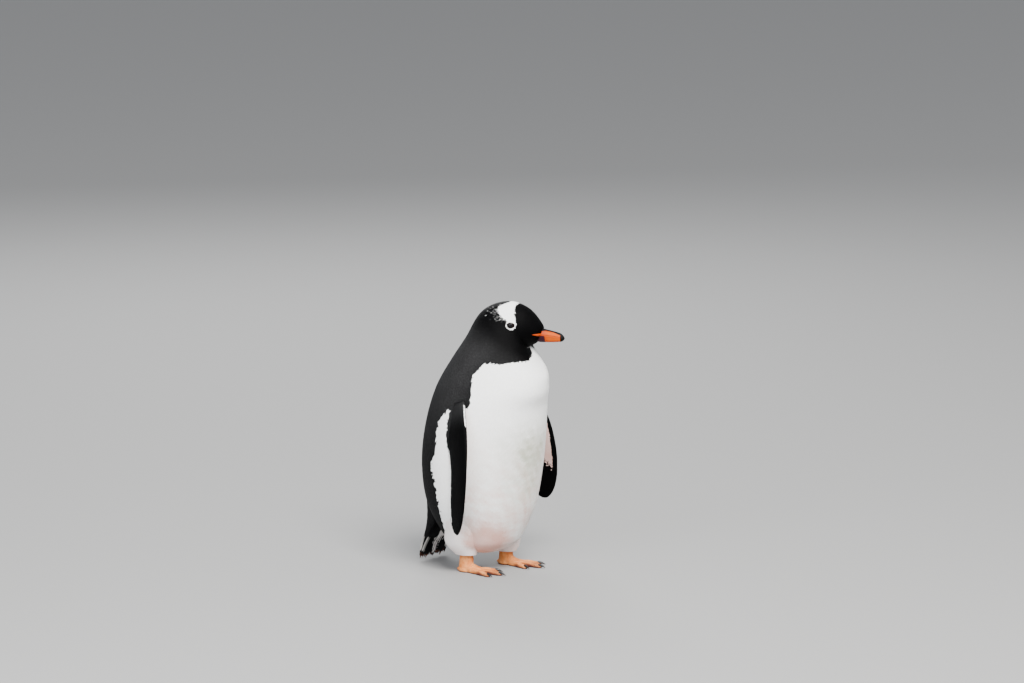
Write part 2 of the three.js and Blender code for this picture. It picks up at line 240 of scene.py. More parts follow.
@dataclass
class Shape:
    """Vertices, faces and per-vertex values of a piece, in the frame, in metres."""

    verts: Array
    quads: Array = field(default_factory=lambda: np.zeros((0, 4), int))
    tris: Array = field(default_factory=lambda: np.zeros((0, 3), int))
    values: dict[str, Array] = field(default_factory=dict)
    corner_uv: Array | None = None
    rim: Array = field(default_factory=lambda: np.zeros((0, 2), int))  # edges that stay sharp

    def volume(self) -> float:
        """Signed volume, which is above zero where the faces point outwards."""
        tris = np.vstack([self.tris, self.quads[:, [0, 1, 2]], self.quads[:, [0, 2, 3]]])
        a, b, c = (self.verts[tris[:, k]] for k in range(3))
        return float(np.einsum("ij,ij->i", a, np.cross(b, c)).sum() / 6.0)

    def outward(self) -> "Shape":
        """The same closed shape with its faces pointing outwards."""
        if self.volume() < 0.0:
            self.quads = self.quads[:, ::-1]
            self.tris = self.tris[:, ::-1]
        return self

    def triangles(self) -> int:
        """Number of triangles once the quads are split."""
        return 2 * len(self.quads) + len(self.tris)


def join(shapes: list[Shape]) -> Shape:
    """Several shapes as one.

    Args:
        shapes: the shapes, in order.

    Returns:
        One shape with the values that all of them carry.
    """
    starts = np.cumsum([0] + [len(s.verts) for s in shapes[:-1]])
    names = set.intersection(*(set(s.values) for s in shapes))
    return Shape(
        np.vstack([s.verts for s in shapes]),
        np.vstack([s.quads + n for s, n in zip(shapes, starts)]),
        np.vstack([s.tris + n for s, n in zip(shapes, starts)]),
        {name: np.concatenate([s.values[name] for s in shapes]) for name in sorted(names)},
        rim=np.vstack([s.rim + n for s, n in zip(shapes, starts)]),
    )


def tube(rings: Array, **values: Array) -> Shape:
    """Closed skin over rings of points, each end closed to its middle.

    Args:
        rings: (rows, points round, 3) places in metres.
        values: per-point values of the same first two axes, carried as vertex values.

    Returns:
        The closed shape, faces outwards.
    """
    rows, n = rings.shape[:2]
    index = np.arange(rows * n).reshape(rows, n)
    following = np.roll(index, -1, axis=1)
    quads = np.stack([index[:-1], following[:-1], following[1:], index[1:]], -1).reshape(-1, 4)
    first, final = rows * n, rows * n + 1
    ends = [np.stack([np.full(n, first), following[0], index[0]], -1),
            np.stack([np.full(n, final), index[-1], following[-1]], -1)]
    verts = np.vstack([rings.reshape(-1, 3), rings[0].mean(0), rings[-1].mean(0)])
    carried = {}
    for name, value in values.items():
        flat = value.reshape(rows * n, -1)
        carried[name] = np.vstack([flat, value[0].reshape(n, -1).mean(0), value[-1].reshape(n, -1).mean(0)])
    return Shape(verts, quads, np.vstack(ends), carried).outward()


def ring_torus(points: Array, **values: Array) -> Shape:
    """Closed skin over a grid that runs round in both directions, as a pair of lids does.

    Args:
        points: (rows, points round, 3) places in metres.
        values: per-point values of the same first two axes, carried as vertex values.

    Returns:
        The closed shape, faces outwards.
    """
    rows, n = points.shape[:2]
    index = np.arange(rows * n).reshape(rows, n)
    down = np.roll(index, -1, axis=0)
    quads = np.stack([index, np.roll(index, -1, 1), np.roll(down, -1, 1), down], -1).reshape(-1, 4)
    carried = {name: value.reshape(rows * n, -1) for name, value in values.items()}
    return Shape(points.reshape(-1, 3), quads, values=carried).outward()


def column(items: bpy.types.bpy_prop_collection, key: str, width: int, kind: type) -> Array:
    """One property of all of a mesh's vertices, edges, faces or corners.

    Args:
        items: the mesh's collection.
        key: name of the property.
        width: how many numbers it has for each item.
        kind: numpy's type for them.

    Returns:
        The numbers, all in one row.
    """
    numbers = np.empty(width * len(items), kind)
    items.foreach_get(key, numbers)
    return numbers


class Piece:
    """Turns shapes into Blender objects of the frame."""

    @staticmethod
    def mesh(name: str, shape: Shape) -> bpy.types.Mesh:
        """Puts a shape's arrays into a new mesh.

        Args:
            name: name of the mesh.
            shape: what it holds.

        Returns:
            The mesh, shaded smooth.
        """
        mesh = bpy.data.meshes.new(name)
        loops = np.concatenate([shape.quads.ravel(), shape.tris.ravel()]).astype(np.int32)
        totals = np.concatenate([np.full(len(shape.quads), 4), np.full(len(shape.tris), 3)])
        starts = np.concatenate([[0], np.cumsum(totals)[:-1]])
        mesh.vertices.add(len(shape.verts))
        mesh.vertices.foreach_set("co", shape.verts.astype(np.float32).ravel())
        mesh.loops.add(len(loops))
        mesh.loops.foreach_set("vertex_index", loops)
        mesh.polygons.add(len(totals))
        mesh.polygons.foreach_set("loop_start", starts.astype(np.int32))
        mesh.polygons.foreach_set("use_smooth", np.ones(len(totals), bool))
        mesh.update(calc_edges=True)
        if len(shape.rim):
            ends = column(mesh.edges, "vertices", 2, np.int32).reshape(-1, 2).astype(int)
            number, wanted = (np.sort(pairs, 1) @ [len(shape.verts), 1] for pairs in (ends, shape.rim))
            layer = mesh.attributes.new("sharp_edge", "BOOLEAN", "EDGE")
            layer.data.foreach_set("value", np.isin(number, wanted))
        for key, value in shape.values.items():
            layer = mesh.attributes.new(key, "FLOAT_VECTOR", "POINT")
            layer.data.foreach_set("vector", value.reshape(-1, 3).astype(np.float32).ravel())
        if shape.corner_uv is not None:
            layer = mesh.uv_layers.new(name="OFBake")
            layer.data.foreach_set("uv", shape.corner_uv[loops].astype(np.float32).ravel())
        return mesh

    @classmethod
    def add(cls, name: str, shape: Shape, material: Material, slot: str,
            nodes: tuple[str, ...] = ()) -> bpy.types.Object:
        """Adds a piece that rides on the root body.

        Args:
            name: name of the piece.
            shape: its mesh in the frame.
            material: its finish.
            slot: not used.
            nodes: CAD nodes that it stands for.

        Returns:
            The new object.
        """
        piece = bpy.data.objects.new(name, cls.mesh(name, shape))
        bpy.context.scene.collection.objects.link(piece)
        piece.data.materials.append(material)
        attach(piece, "root")
        if nodes:
            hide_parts(*nodes)
        LOG.info("%s: %d triangles", name, shape.triangles())
        return piece


def fuse(shape: Shape, voxel: float, relax: int) -> Shape:
    """Melts overlapping closed shells into one skin by a voxel remesh.

    Args:
        shape: closed shells that may pass through each other.
        voxel: side of a voxel in metres.
        relax: rounds of smoothing afterwards.

    Returns:
        One closed skin without values.
    """
    bare = Shape(shape.verts, shape.quads, shape.tris)
    holder = bpy.data.objects.new("fusing", Piece.mesh("fusing", bare))
    bpy.context.scene.collection.objects.link(holder)
    remesh = holder.modifiers.new("remesh", "REMESH")
    remesh.mode = "VOXEL"
    remesh.voxel_size = voxel
    soften = holder.modifiers.new("soften", "SMOOTH")
    soften.factor = 0.5
    soften.iterations = relax
    graph = bpy.context.evaluated_depsgraph_get()
    melted = bpy.data.meshes.new_from_object(holder.evaluated_get(graph))
    verts = column(melted.vertices, "co", 3, np.float32)
    totals = column(melted.polygons, "loop_total", 1, np.int32)
    loops = column(melted.loops, "vertex_index", 1, np.int32)
    starts = np.concatenate([[0], np.cumsum(totals)[:-1]])
    quads, tris = (loops[starts[totals == sides][:, None] + np.arange(sides)] for sides in (4, 3))
    bpy.data.objects.remove(holder)
    bpy.data.meshes.remove(melted)
    return Shape(verts.reshape(-1, 3).astype(float), quads.astype(int), tris.astype(int)).outward()


# ---- forms

@dataclass
class Contact:
    """Places on a form with the directions that a feather needs there."""

    point: Array
    normal: Array
    along: Array  # derivative by a, metres
    round: Array  # derivative by b, metres


class Form:
    """A closed surface of two parameters: a runs along it and b goes round it."""

    low: float = 0.0
    high: float = 1.0
    lie: float = 1.0  # which way along a the feathers point
    step_a: float = 0.01
    step_b: float = 0.012

    def at(self, a: Array, b: Array) -> Array:
        """Points of the surface, in the frame."""
        raise NotImplementedError

    @cached_property
    def facing(self) -> float:
        """1 where the cross product of the derivatives points outwards, otherwise -1."""
        a = np.full(24, (self.low + self.high) / 2.0)
        b = np.linspace(0, TAU, 24, endpoint=False)
        point = self.at(a, b)
        normal = np.cross(self.at(a + self.step_a, b) - point, self.at(a, b + self.step_b) - point)
        return 1.0 if ((point - point.mean(0)) * normal).sum() > 0 else -1.0

    def contact(self, a: Array, b: Array) -> Contact:
        """Point, outward normal and derivatives by central differences.

        Args:
            a: places along the form.
            b: angles round it, of the same shape.

        Returns:
            The contact at every place.
        """
        a = np.clip(a, self.low, self.high)
        before = np.maximum(a - self.step_a, self.low)
        after = np.minimum(a + self.step_a, self.high)
        along = (self.at(after, b) - self.at(before, b)) / (after - before)[..., None]
        around = (self.at(a, b + self.step_b) - self.at(a, b - self.step_b)) / (2 * self.step_b)
        return Contact(self.at(a, b), unit(np.cross(along, around)) * self.facing, along, around)

    def shell(self, rows: Array, count: int, inset: Array) -> Shape:
        """Closed shell that lies inside the form.

        Args:
            rows: values of a, from one end to the other.
            count: points round each row.
            inset: how far inside each row or each point lies, in metres.

        Returns:
            The closed shell.
        """
        a, b = grid_round(rows, count)
        here = self.contact(a, b)
        inset = inset if inset.ndim == 2 else inset[:, None]
        return tube(here.point - here.normal * np.broadcast_to(inset, a.shape)[..., None])


@dataclass
class BodyForm(Form):
    """The body from vent to bill: ellipses carried up the back and over the crown.

    Each section has a half width, a front depth and a back depth, leans forward
    by its pitch, and above the shoulders takes a growing share of the head's turn.
    """

    stations: Array = field(default_factory=lambda: np.array([
        # forward, height, pitch, half width, front depth, back depth
        [-4, 30, 0, 54, 46, 48],  # vent
        [-8, 72, 0, 80, 77, 81],  # hip
        [-12, 130, 0, 105, 104, 106],  # belly
        [-11, 200, 1, 115, 116, 116],  # waist
        [-4, 270, 4, 115, 117, 114],  # breast
        [9, 335, 9, 106, 111, 105],  # shoulder
        [21, 387, 17, 87, 115, 83],  # collar
        [34, 424, 22, 67, 102, 71],  # neck
        [51, 457, 38, 49, 70, 67],  # nape
        [69, 475, 62, 38, 50, 49],  # crown
        [88, 471, 86, 33, 37, 38],  # brow
        [106, 463, 105, 24, 26, 21],  # lores
        [117, 458, 112, 14, 13, 11],  # bill
    ], dtype=float))
    vent_cap: float = 0.75
    face_cap: float = 0.6
    turn_start: float = 5.2  # station above which the sections turn with the head
    turn_span: float = 3.6
    tried: Array = field(default_factory=lambda: np.linspace(0.03, 11.97, 240))  # sections for locate
    batch: int = 6000  # places located at once
    near: float = 1.05  # past this share of a section's edge, a place counts against the section
    beyond: float = 12.0  # by so many millimetres for each whole share
    off_scale: float = 40.0  # millimetres off its section that count as one share
    low: float = 0.012
    high: float = 11.99
    lie: float = -1.0
    step_a: float = 0.02

    def section(self, t: Array) -> tuple[Array, ...]:
        """Centre (forward, height), pitch in radians, half width and depths of the sections at t."""
        f, z, pitch, half, front, back = np.moveaxis(stations_at(self.stations, t), -1, 0)
        cap = round_end(t / self.vent_cap) * round_end((len(self.stations) - 1 - t) / self.face_cap)
        return f, z, np.radians(pitch), half * cap, front * cap, back * cap

    def share(self, t: Array) -> Array:
        """Share of the head's turn that a section takes."""
        return smooth((t - self.turn_start) / self.turn_span)

    def at(self, a: Array, b: Array) -> Array:
        """Points at station a and angle b, from the breast round by the bird's right."""
        f, z, pitch, half, front, back = self.section(a)
        deep = np.where(np.cos(b) > 0, front, back) * np.cos(b)
        points = np.stack([-half * np.sin(b), f + np.cos(pitch) * deep, z - np.sin(pitch) * deep], -1)
        return STANCE.place(STANCE.turn(points, self.share(a)))

    def locate(self, points: Array) -> tuple[Array, Array, Array]:
        """Finds which section a place lies on.

        Each section's plane is tried, and the one closest to the place wins.

        Args:
            points: (count, 3) places in the frame.

        Returns:
            Station, angle round it in radians, and distance from its centre as a
            share of the surface's: below 1 is inside.
        """
        t = self.tried
        f, z, pitch, half, front, back = self.section(t)
        angle = np.radians(STANCE.head_yaw) * self.share(t)
        found = []
        for part in np.array_split(STANCE.unplace(points), max(1, len(points) // self.batch)):
            x, d = part[:, :1], part[:, 1:2] - STANCE.pivot_f
            own_x = x * np.cos(angle) - d * np.sin(angle)
            own_f = x * np.sin(angle) + d * np.cos(angle) + STANCE.pivot_f - f
            own_z = part[:, 2:] - z
            off = own_f * np.sin(pitch) + own_z * np.cos(pitch)
            deep = own_f * np.cos(pitch) - own_z * np.sin(pitch)
            ratio = np.hypot(own_x / half, deep / np.where(deep > 0, front, back))
            best = (np.abs(off) + self.beyond * np.maximum(0.0, ratio - self.near)).argmin(1)
            pick = np.arange(len(part)), best
            turn = np.arctan2(-own_x[pick] / half[best],
                              deep[pick] / np.where(deep[pick] > 0, front[best], back[best]))
            distance = ratio[pick] + np.abs(off[pick]) / self.off_scale
            found.append(np.stack([t[best], turn, distance], -1))
        return tuple(np.vstack(found).T)


@dataclass
class FlipperForm(Form):
    """Bent blade: a quadratic centre line with a chord that leans out in front."""

    side: Side = Side.LEFT
    line: Array = field(default_factory=lambda: np.zeros((3, 3)))
    turn: float = 20.0  # degrees, front edge outwards
    full_chord: float = 64.0
    swell: float = 13.0  # rear edge's bulge at the elbow
    elbow: float = 0.235  # share of the blade where the elbow is
    root_thick: float = 13.0
    tip_thick: float = 4.5
    tip_start: float = 0.72  # share of the blade where it begins to round off
    high: float = 0.998

    def axes(self, s: Array) -> tuple[Array, Array, Array, Array]:
        """Directions of the blade, in bird terms.

        Args:
            s: shares along the blade.

        Returns:
            Centre, axis, direction of the chord and outward direction of the face.
        """
        k = s[..., None]
        first, middle, last = self.line
        centre = (1 - k) ** 2 * first + 2 * k * (1 - k) * middle + k ** 2 * last
        axis = unit((1 - k) * (middle - first) + k * (last - middle))
        chord = unit(np.array([0.0, 1.0, 0.0]) - axis * axis[..., 1:2])
        face = np.cross(axis, chord)
        face = face * np.where(face[..., :1] * self.side.value < 0, -1.0, 1.0)
        cos, sin = math.cos(math.radians(self.turn)), math.sin(math.radians(self.turn))
        return centre, axis, chord * cos + face * sin, face * cos - chord * sin

    def plan(self, s: Array) -> tuple[Array, Array, Array]:
        """Outline of the blade: rounded at the tip, swollen at the elbow.

        Args:
            s: shares along the blade.

        Returns:
            Chord, the chord's middle in front of the centre line, and thickness.
        """
        tip = np.sqrt(np.maximum(0.0, 1.0 - np.clip((s - self.tip_start) / 0.28, 0, 1) ** 2.2))
        swell = self.swell * np.exp(-((s - self.elbow) / 0.13) ** 2)
        widening = 0.82 + 0.18 * smooth(s / 0.3)
        narrowing = 1 - 0.2 * smooth((s - 0.3) / 0.7)
        chord = self.full_chord * widening * narrowing * tip + swell
        middle = 3 + 5 * smooth(s / 0.4) - 8 * smooth((s - 0.5) / 0.5) - swell / 2
        thick = self.root_thick - (self.root_thick - self.tip_thick) * smooth(s / 0.9)
        return chord, middle, thick * np.maximum(tip, 0.15)

    def at(self, a: Array, b: Array) -> Array:
        """Points at share a along the blade and angle b from its front edge over the outer face."""
        centre, _, chord_way, face_way = self.axes(a)
        chord, middle, thick = self.plan(a)
        across = middle + 0.5 * chord * np.cos(b)
        out = 0.5 * thick * np.sign(np.sin(b)) * np.abs(np.sin(b)) ** 0.8 * (1 + 0.35 * np.cos(b))
        return STANCE.place(centre + chord_way * across[..., None] + face_way * out[..., None])

    def locate(self, points: Array) -> tuple[Array, Array, Array, Array]:
        """Finds where on the blade a place lies.

        Args:
            points: (count, 3) places in the frame.

        Returns:
            Share along the blade, place over the chord (-1 to 1), side (above 0 is
            the outer one) and distance from the centre as a share of the surface's.
        """
        s = np.linspace(0.0, 0.995, 120)
        centre, axis, chord_way, face_way = self.axes(s)
        chord, middle, thick = self.plan(s)
        away = STANCE.unplace(points)[:, None, :] - centre
        best = np.abs((away * axis).sum(-1)).argmin(1)
        own = away[np.arange(len(points)), best]
        across = ((own * chord_way[best]).sum(-1) - middle[best]) / (0.5 * chord[best])
        out = (own * face_way[best]).sum(-1) / (0.5 * thick[best])
        off = np.abs((own * axis[best]).sum(-1)) / 20.0
        return s[best], across, out, np.hypot(across, out * 0.7) + off


@dataclass
class LegForm(Form):
    """Feathered thigh that narrows to a cuff round the shank."""

    x: float = 50.0
    f: float = 2.0
    cuff: float = 28.0  # height of the feathers' lower edge

    def at(self, a: Array, b: Array) -> Array:
        """Points at share a down the leg and angle b round it."""
        x, f = self.x, self.f
        table = np.array([
            # to the side, forward, height, half width, half depth
            [0.62 * x, -10, 150, 68, 70], [0.74 * x, -8, 112, 61, 60], [0.84 * x, -6, 86, 49, 50],
            [0.93 * x, 0.6 * f - 6, 60, 38.5, 42], [x, f - 2, self.cuff + 12, 28.5, 32],
            [x, f + 2, self.cuff, 19, 23],
        ])
        cx, cf, z, half, deep = np.moveaxis(stations_at(table, (len(table) - 1.0) * a), -1, 0)
        return STANCE.place(np.stack([cx + half * np.cos(b), cf + deep * np.sin(b), z], -1))


@dataclass
class TailForm(Form):
    """Wedge of tail feathers that leans back and down to the floor."""

    stations: Array = field(default_factory=lambda: np.array([
        # forward, height, half width, half thickness
        [-60, 150, 58, 44], [-92, 104, 52, 26], [-114, 66, 42, 13],
        [-131, 34, 39, 6.5], [-141, 1.2, 42, 3.2],
    ], dtype=float))
    end_cap: float = 0.35  # stations over which the end is rounded
    end_share: float = 0.7  # width left at the very end
    high: float = 0.99

    def spine(self, a: Array) -> tuple[Array, ...]:
        """Middle line of the tail.

        Args:
            a: shares down the tail.

        Returns:
            Forward, height, half width, half thickness, and the direction out of
            the upper side, forward and up.
        """
        last = len(self.stations) - 1
        f, z, half, thick = np.moveaxis(stations_at(self.stations, last * a), -1, 0)
        step = 0.01
        f2, z2 = np.moveaxis(stations_at(self.stations, last * a + step), -1, 0)[:2]
        f1, z1 = np.moveaxis(stations_at(self.stations, last * a - step), -1, 0)[:2]
        length = np.hypot(f2 - f1, z2 - z1)
        return f, z, half, thick, (z2 - z1) / length, -(f2 - f1) / length

    def at(self, a: Array, b: Array) -> Array:
        """Points at share a down the tail and angle b round it."""
        last = len(self.stations) - 1
        f, z, half, thick, out_f, out_z = self.spine(a)
        cap = round_end((last - last * a + 0.02) / self.end_cap)
        height = thick * np.sin(b)
        x = half * (self.end_share + (1 - self.end_share) * cap) * np.cos(b)
        return STANCE.place(np.stack([x, f + out_f * height, z + out_z * height], -1))


BODY = BodyForm()
FLIPPERS = {
    Side.RIGHT: FlipperForm(Side.RIGHT, np.array([[-100, 9, 332], [-143, 46, 219], [-114, 20, 86]], float)),
    Side.LEFT: FlipperForm(Side.LEFT, np.array([[94, 4, 332], [132, 25, 215], [175, -5, 108]], float)),
}
LEGS = {Side.LEFT: LegForm(50.0, 2.0, 28.0), Side.RIGHT: LegForm(-50.0, -12.0, 35.0)}
TAIL = TailForm()
RUMP = TailForm(np.array([
    [-74, 178, 72, 50], [-88, 130, 64, 34], [-101, 96, 53, 21],
    [-113, 67, 43.5, 14.2], [-121, 52, 41.5, 11],
], float), 0.01, 1.0)


# ---- markings

@dataclass(frozen=True)
class Markings:
    """Where the plumage is white, grey or stained, on the forms' own parameters.

    Every rule gives three values: white (1) or black (0), the grey of a black
    feather or the dirt and painted shade on a white one, and pink stain. On the body, t is the
    station and the degrees go round from the breast. The rules for feathers
    take a and b on their form, the places in the frame, and a generator that
    makes the edges ragged by about a feather.
    """

    # edge of the black back: station, degrees
    back_edge: Curve = ((0.0, 128), (0.5, 122), (0.93, 115), (1.54, 104.5), (2.04, 100.5), (2.6, 101.5),
                        (3.1, 107.5), (3.43, 103.2), (3.65, 101.8), (4.05, 104), (4.4, 103), (4.62, 99),
                        (4.74, 95), (4.82, 84), (4.9, 75), (5.0, 73), (5.2, 73.5), (5.4, 75.5), (5.77, 81),
                        (6.06, 84.5), (6.39, 84), (6.9, 83.5))
    # rear edge of the black strap inside the flipper, which also paints in the flipper's shadow on the
    # flank: station, degrees
    strap_and_shadow_edge: Curve = ((3.5, 84), (3.7, 86.5), (4.0, 90), (4.4, 92), (4.8, 93))
    strap_and_shadow_front: float = 77.0  # its front edge, degrees
    # lower edge of the hood: degrees (below zero on the bird's left), station
    hood_edge: Curve = ((-95, 6.66), (-84, 6.72), (-71, 7.05), (-61, 7.35), (-48, 7.8), (-32, 8.3),
                        (-14, 9.05), (-4, 9.2), (-1, 8.75), (14, 8.2), (32, 7.7), (48, 7.43), (61, 7.18),
                        (71, 6.94), (84, 6.7), (95, 6.66))
    # rear edge of the white patch over the crown: degrees, station
    bonnet_rear: Curve = ((96, 9.16), (104, 8.93), (110.5, 8.79), (120.5, 8.66), (131.5, 8.61), (142, 8.63),
                          (151.5, 8.70), (155, 8.79), (158.5, 8.94), (167, 9.12), (180, 9.2))
    # its front edge
    bonnet_front: Curve = ((90, 9.40), (110, 9.44), (135, 9.45), (155, 9.50), (180, 9.58))
    bonnet_low: float = 98.0  # degrees at its lower end, above the eye
    ring: Pair = (9.6, 8.9)  # half axes of the white ring round the eye, millimetres
    flipper_edge: float = -0.86  # white behind this share of the chord
    flipper_root: float = 0.035  # all black above this share
    flipper_tip: float = 0.60  # the underside is black beyond this share
    edge_line: float = 0.9990  # white line in front of this share of the chord
    edge_line_end: float = 0.19  # and as far down as this
    sliver: Pair = (0.12, 0.93)  # where the rear edge's white also shows outside
    eye_depth: float = -8.0  # millimetres from an eye's centre, behind which a place is deep in the head

    def eye_offset(self, points: Array) -> tuple[Array, Array]:
        """Distance from the nearer eye, level and upright, in millimetres of the unturned head.

        Args:
            points: places in the frame.

        Returns:
            The two distances, both far for a place that is deep inside the head.
        """
        own = STANCE.unhead(points)
        centre, out, level, up = STANCE.eye_axes(np.where(own[..., 0] < 0, -1.0, 1.0))
        away = own - centre
        deep, far = (away * out).sum(-1) < self.eye_depth, 99.0
        return np.where(deep, far, (away * level).sum(-1)), np.where(deep, far, (away * up).sum(-1))

    def belly(self, t: Array, around: Array, points: Array, ragged: Array) -> Array:
        """Where the body is white below the hood.

        Args:
            t: stations.
            around: degrees from the breast, to either side.
            points: the same places in the frame.
            ragged: each place's own share of raggedness.

        Returns:
            True in front of the black back, apart from the strap inside the flipper, which is black plumage
            that also paints in the flipper's shadow on the flank.
        """
        flank = smooth((around - 60) / 40) * smooth((5.2 - t) / 0.6)
        edge = curve_at(self.back_edge, t) + ragged * (0.35 + 0.35 * flank)
        edge += 0.8 * flank * ripple(points, 0.03, 3)
        low, high = self.strap_and_shadow_edge[0][0], self.strap_and_shadow_edge[-1][0]
        # Black strap inside the flipper: black plumage that also stands in for the flipper's painted shadow
        # on the flank.
        strap_and_shadow = (t > low) & (t < high) & (around > self.strap_and_shadow_front)
        return (around < edge) & ~(strap_and_shadow & (around < curve_at(self.strap_and_shadow_edge, t) + 0.35 * ragged))

    @staticmethod
    def fleck_share(t: Array, around: Array, rear: Array) -> Array:
        """How thickly the hood is flecked with white.

        Args:
            t: stations.
            around: degrees from the breast, to either side.
            rear: station of the white patch's rear edge there.

        Returns:
            Share of flecked feathers: on the nape, below the eye and close behind the patch.
        """
        nape = (smooth((t - 8.0) / 0.45) * smooth((9.2 - t) / 0.4) * smooth((around - 104) / 14)
                * smooth((174 - around) / 16))
        cheek = (0.15 * smooth((t - 8.6) / 0.3) * smooth((9.6 - t) / 0.3)
                 * smooth((around - 66) / 8) * smooth((88 - around) / 8))
        behind = (np.exp(-((rear - 0.14 - t) / 0.12) ** 2) * smooth((around - 104) / 10)
                  * smooth((172 - around) / 12))
        return 0.05 * (nape + cheek) + 0.22 * behind

    @staticmethod
    def dirt(t: Array, degrees: Array, points: Array) -> Array:
        """Dirt and painted shade on the white feathers: a greenish-grey cloud in the middle of the belly
        that thins out upwards, darkening the lower belly where it turns down.
        """
        cloud = 0.10 + 0.80 * np.exp(-((t - 3.35) / 1.25) ** 2 - ((degrees - 1) / 29) ** 2)
        patchy = 1.0 + 0.22 * ripple(points, 0.06, 7) + 0.12 * ripple(points, 0.015, 6)
        return np.clip(cloud * smooth((5.2 - t) / 1.2) * smooth((78 - np.abs(degrees)) / 30) * patchy, 0, 1)

    @staticmethod
    def stain(t: Array, degrees: Array, points: Array) -> Array:
        """Pink stain: strong on the bird's right by the vent, faint over the lower belly."""
        pink = 2.2 * np.exp(-((t - 0.75) / 0.6) ** 2 - ((degrees - 44) / 26) ** 2)
        patchy = 0.75 + 0.45 * ripple(points, 0.07, 9) + 0.35 * ripple(points, 0.02, 8)
        soil = 0.34 * smooth((4.6 - t) / 3.2) * smooth((95 - np.abs(degrees)) / 30) * patchy
        return np.clip(pink + soil, 0, 1)

    def body(self, t: Array, turn: Array, points: Array, rng: Random) -> Array:
        """Values on the body.

        Args:
            t: stations.
            turn: angles round, in radians.
            points: the same places in the frame.
            rng: makes the edges ragged by about a feather.

        Returns:
            (count, 3) white, grey or dirt and painted shade, and stain.
        """
        degrees = np.degrees((turn + math.pi) % TAU - math.pi)
        ragged = rng.normal(size=t.shape)
        around = np.abs(degrees)
        hood = t > curve_at(self.hood_edge, degrees) + 0.018 * ragged + 0.02 * ripple(points, 0.03, 5)
        white = self.belly(t, around, points, ragged) & ~hood
        rear = curve_at(self.bonnet_rear, around) + 0.03 * ragged
        front = curve_at(self.bonnet_front, around) + 0.02 * ragged
        bonnet = (t > rear) & (t < front) & (around > self.bonnet_low)
        level, upright = self.eye_offset(points)
        ring = np.hypot(level / self.ring[0], upright / self.ring[1]) < 1.0 + 0.04 * ragged
        fleck = rng.uniform(size=t.shape) < self.fleck_share(t, around, rear)
        shoulder = smooth((around - 70) / 30) * smooth((t - 3.0) / 2.5)
        grey = smooth((8.0 - t) / 1.1) * (0.45 + 0.55 * shoulder)
        # On white feathers the second value is dirt together with painted shade over the lower belly.
        grey = np.where(white, self.dirt(t, degrees, points), grey)
        flecked = rng.uniform(0.10, 0.38, t.shape)
        shade = np.where(bonnet | ring, 1.0, np.where(fleck & ~white, flecked, white))
        return np.stack([shade, grey, self.stain(t, degrees, points)], -1)

    def flipper(self, s: Array, across: Array, out: Array, rng: Random) -> Array:
        """Values on a flipper.

        Args:
            s: share along it.
            across: place over the chord, -1 at the rear edge and 1 at the front.
            out: above 0 on the outer side.
            rng: makes the edges ragged.

        Returns:
            (count, 3) white, grey and stain.
        """
        ragged = rng.normal(size=s.shape)
        outer = out > 0.0
        trailing = across < self.flipper_edge + 0.03 * ragged
        tip = s > self.flipper_tip + 0.14 * across + 0.02 * ragged
        leading = across > 0.90 - 0.22 * smooth((s - 0.2) / 0.35) + 0.008 * ragged
        under = ~outer & ~tip & ~leading
        sliver = outer & trailing & (s > self.sliver[0]) & (s < self.sliver[1])
        bright = (across > self.edge_line) & (s > 0.03) & (s < self.edge_line_end)
        pale = (under | sliver | bright | (~outer & trailing & (s < 0.9))) & (s > self.flipper_root)
        white = np.where(pale, 1.0, 0.0)
        pink = np.where(under & pale, 0.85, 0.0)
        # Grey over the flipper's root: the shoulder's slate carried on to it, with a painted highlight over
        # the top of the flipper.
        return np.stack([white, 0.9 * smooth((0.22 - s) / 0.2) * (1.0 - white), pink], -1)

    def flipper_feathers(self, s: Array, turn: Array, points: Array, rng: Random) -> Array:
        """Values on a flipper's feathers, from the angle round the blade."""
        return self.flipper(s, np.cos(turn), np.sin(turn), rng)

    def leg(self, a: Array, b: Array, points: Array, rng: Random) -> Array:
        """Legs are white, stained like the belly beside them, and pinker near the cuff."""
        z = points[..., 2] / MM
        t, turn, _ = BODY.locate(points)
        stain = self.body(t, turn, points, rng)[..., 2]
        stain = np.maximum(stain * smooth((z - 30) / 30), 0.24) + 0.15 * smooth((60 - z) / 30)
        return np.stack([np.ones_like(z), 0.0 * z, stain + 0.02 * rng.normal(size=z.shape)], -1)

    def tail(self, a: Array, b: Array, points: Array, rng: Random) -> Array:
        """The tail's coverts are black above and at the sides, and white along the middle below."""
        under = (np.sin(b) < -0.4) & (np.abs(np.cos(b)) < 0.36 + 0.03 * rng.normal(size=b.shape))
        white = under.astype(float)
        return np.stack([white, 0.45 * (1.0 - 0.6 * a) * (1.0 - white), 0.15 * white], -1)

    def rump(self, a: Array, b: Array, points: Array, rng: Random) -> Array:
        """The rump as the root of the tail."""
        return self.tail(0.3 * a, b, points, rng)


MARKS = Markings()


# ---- materials

Value = "Sock | float"


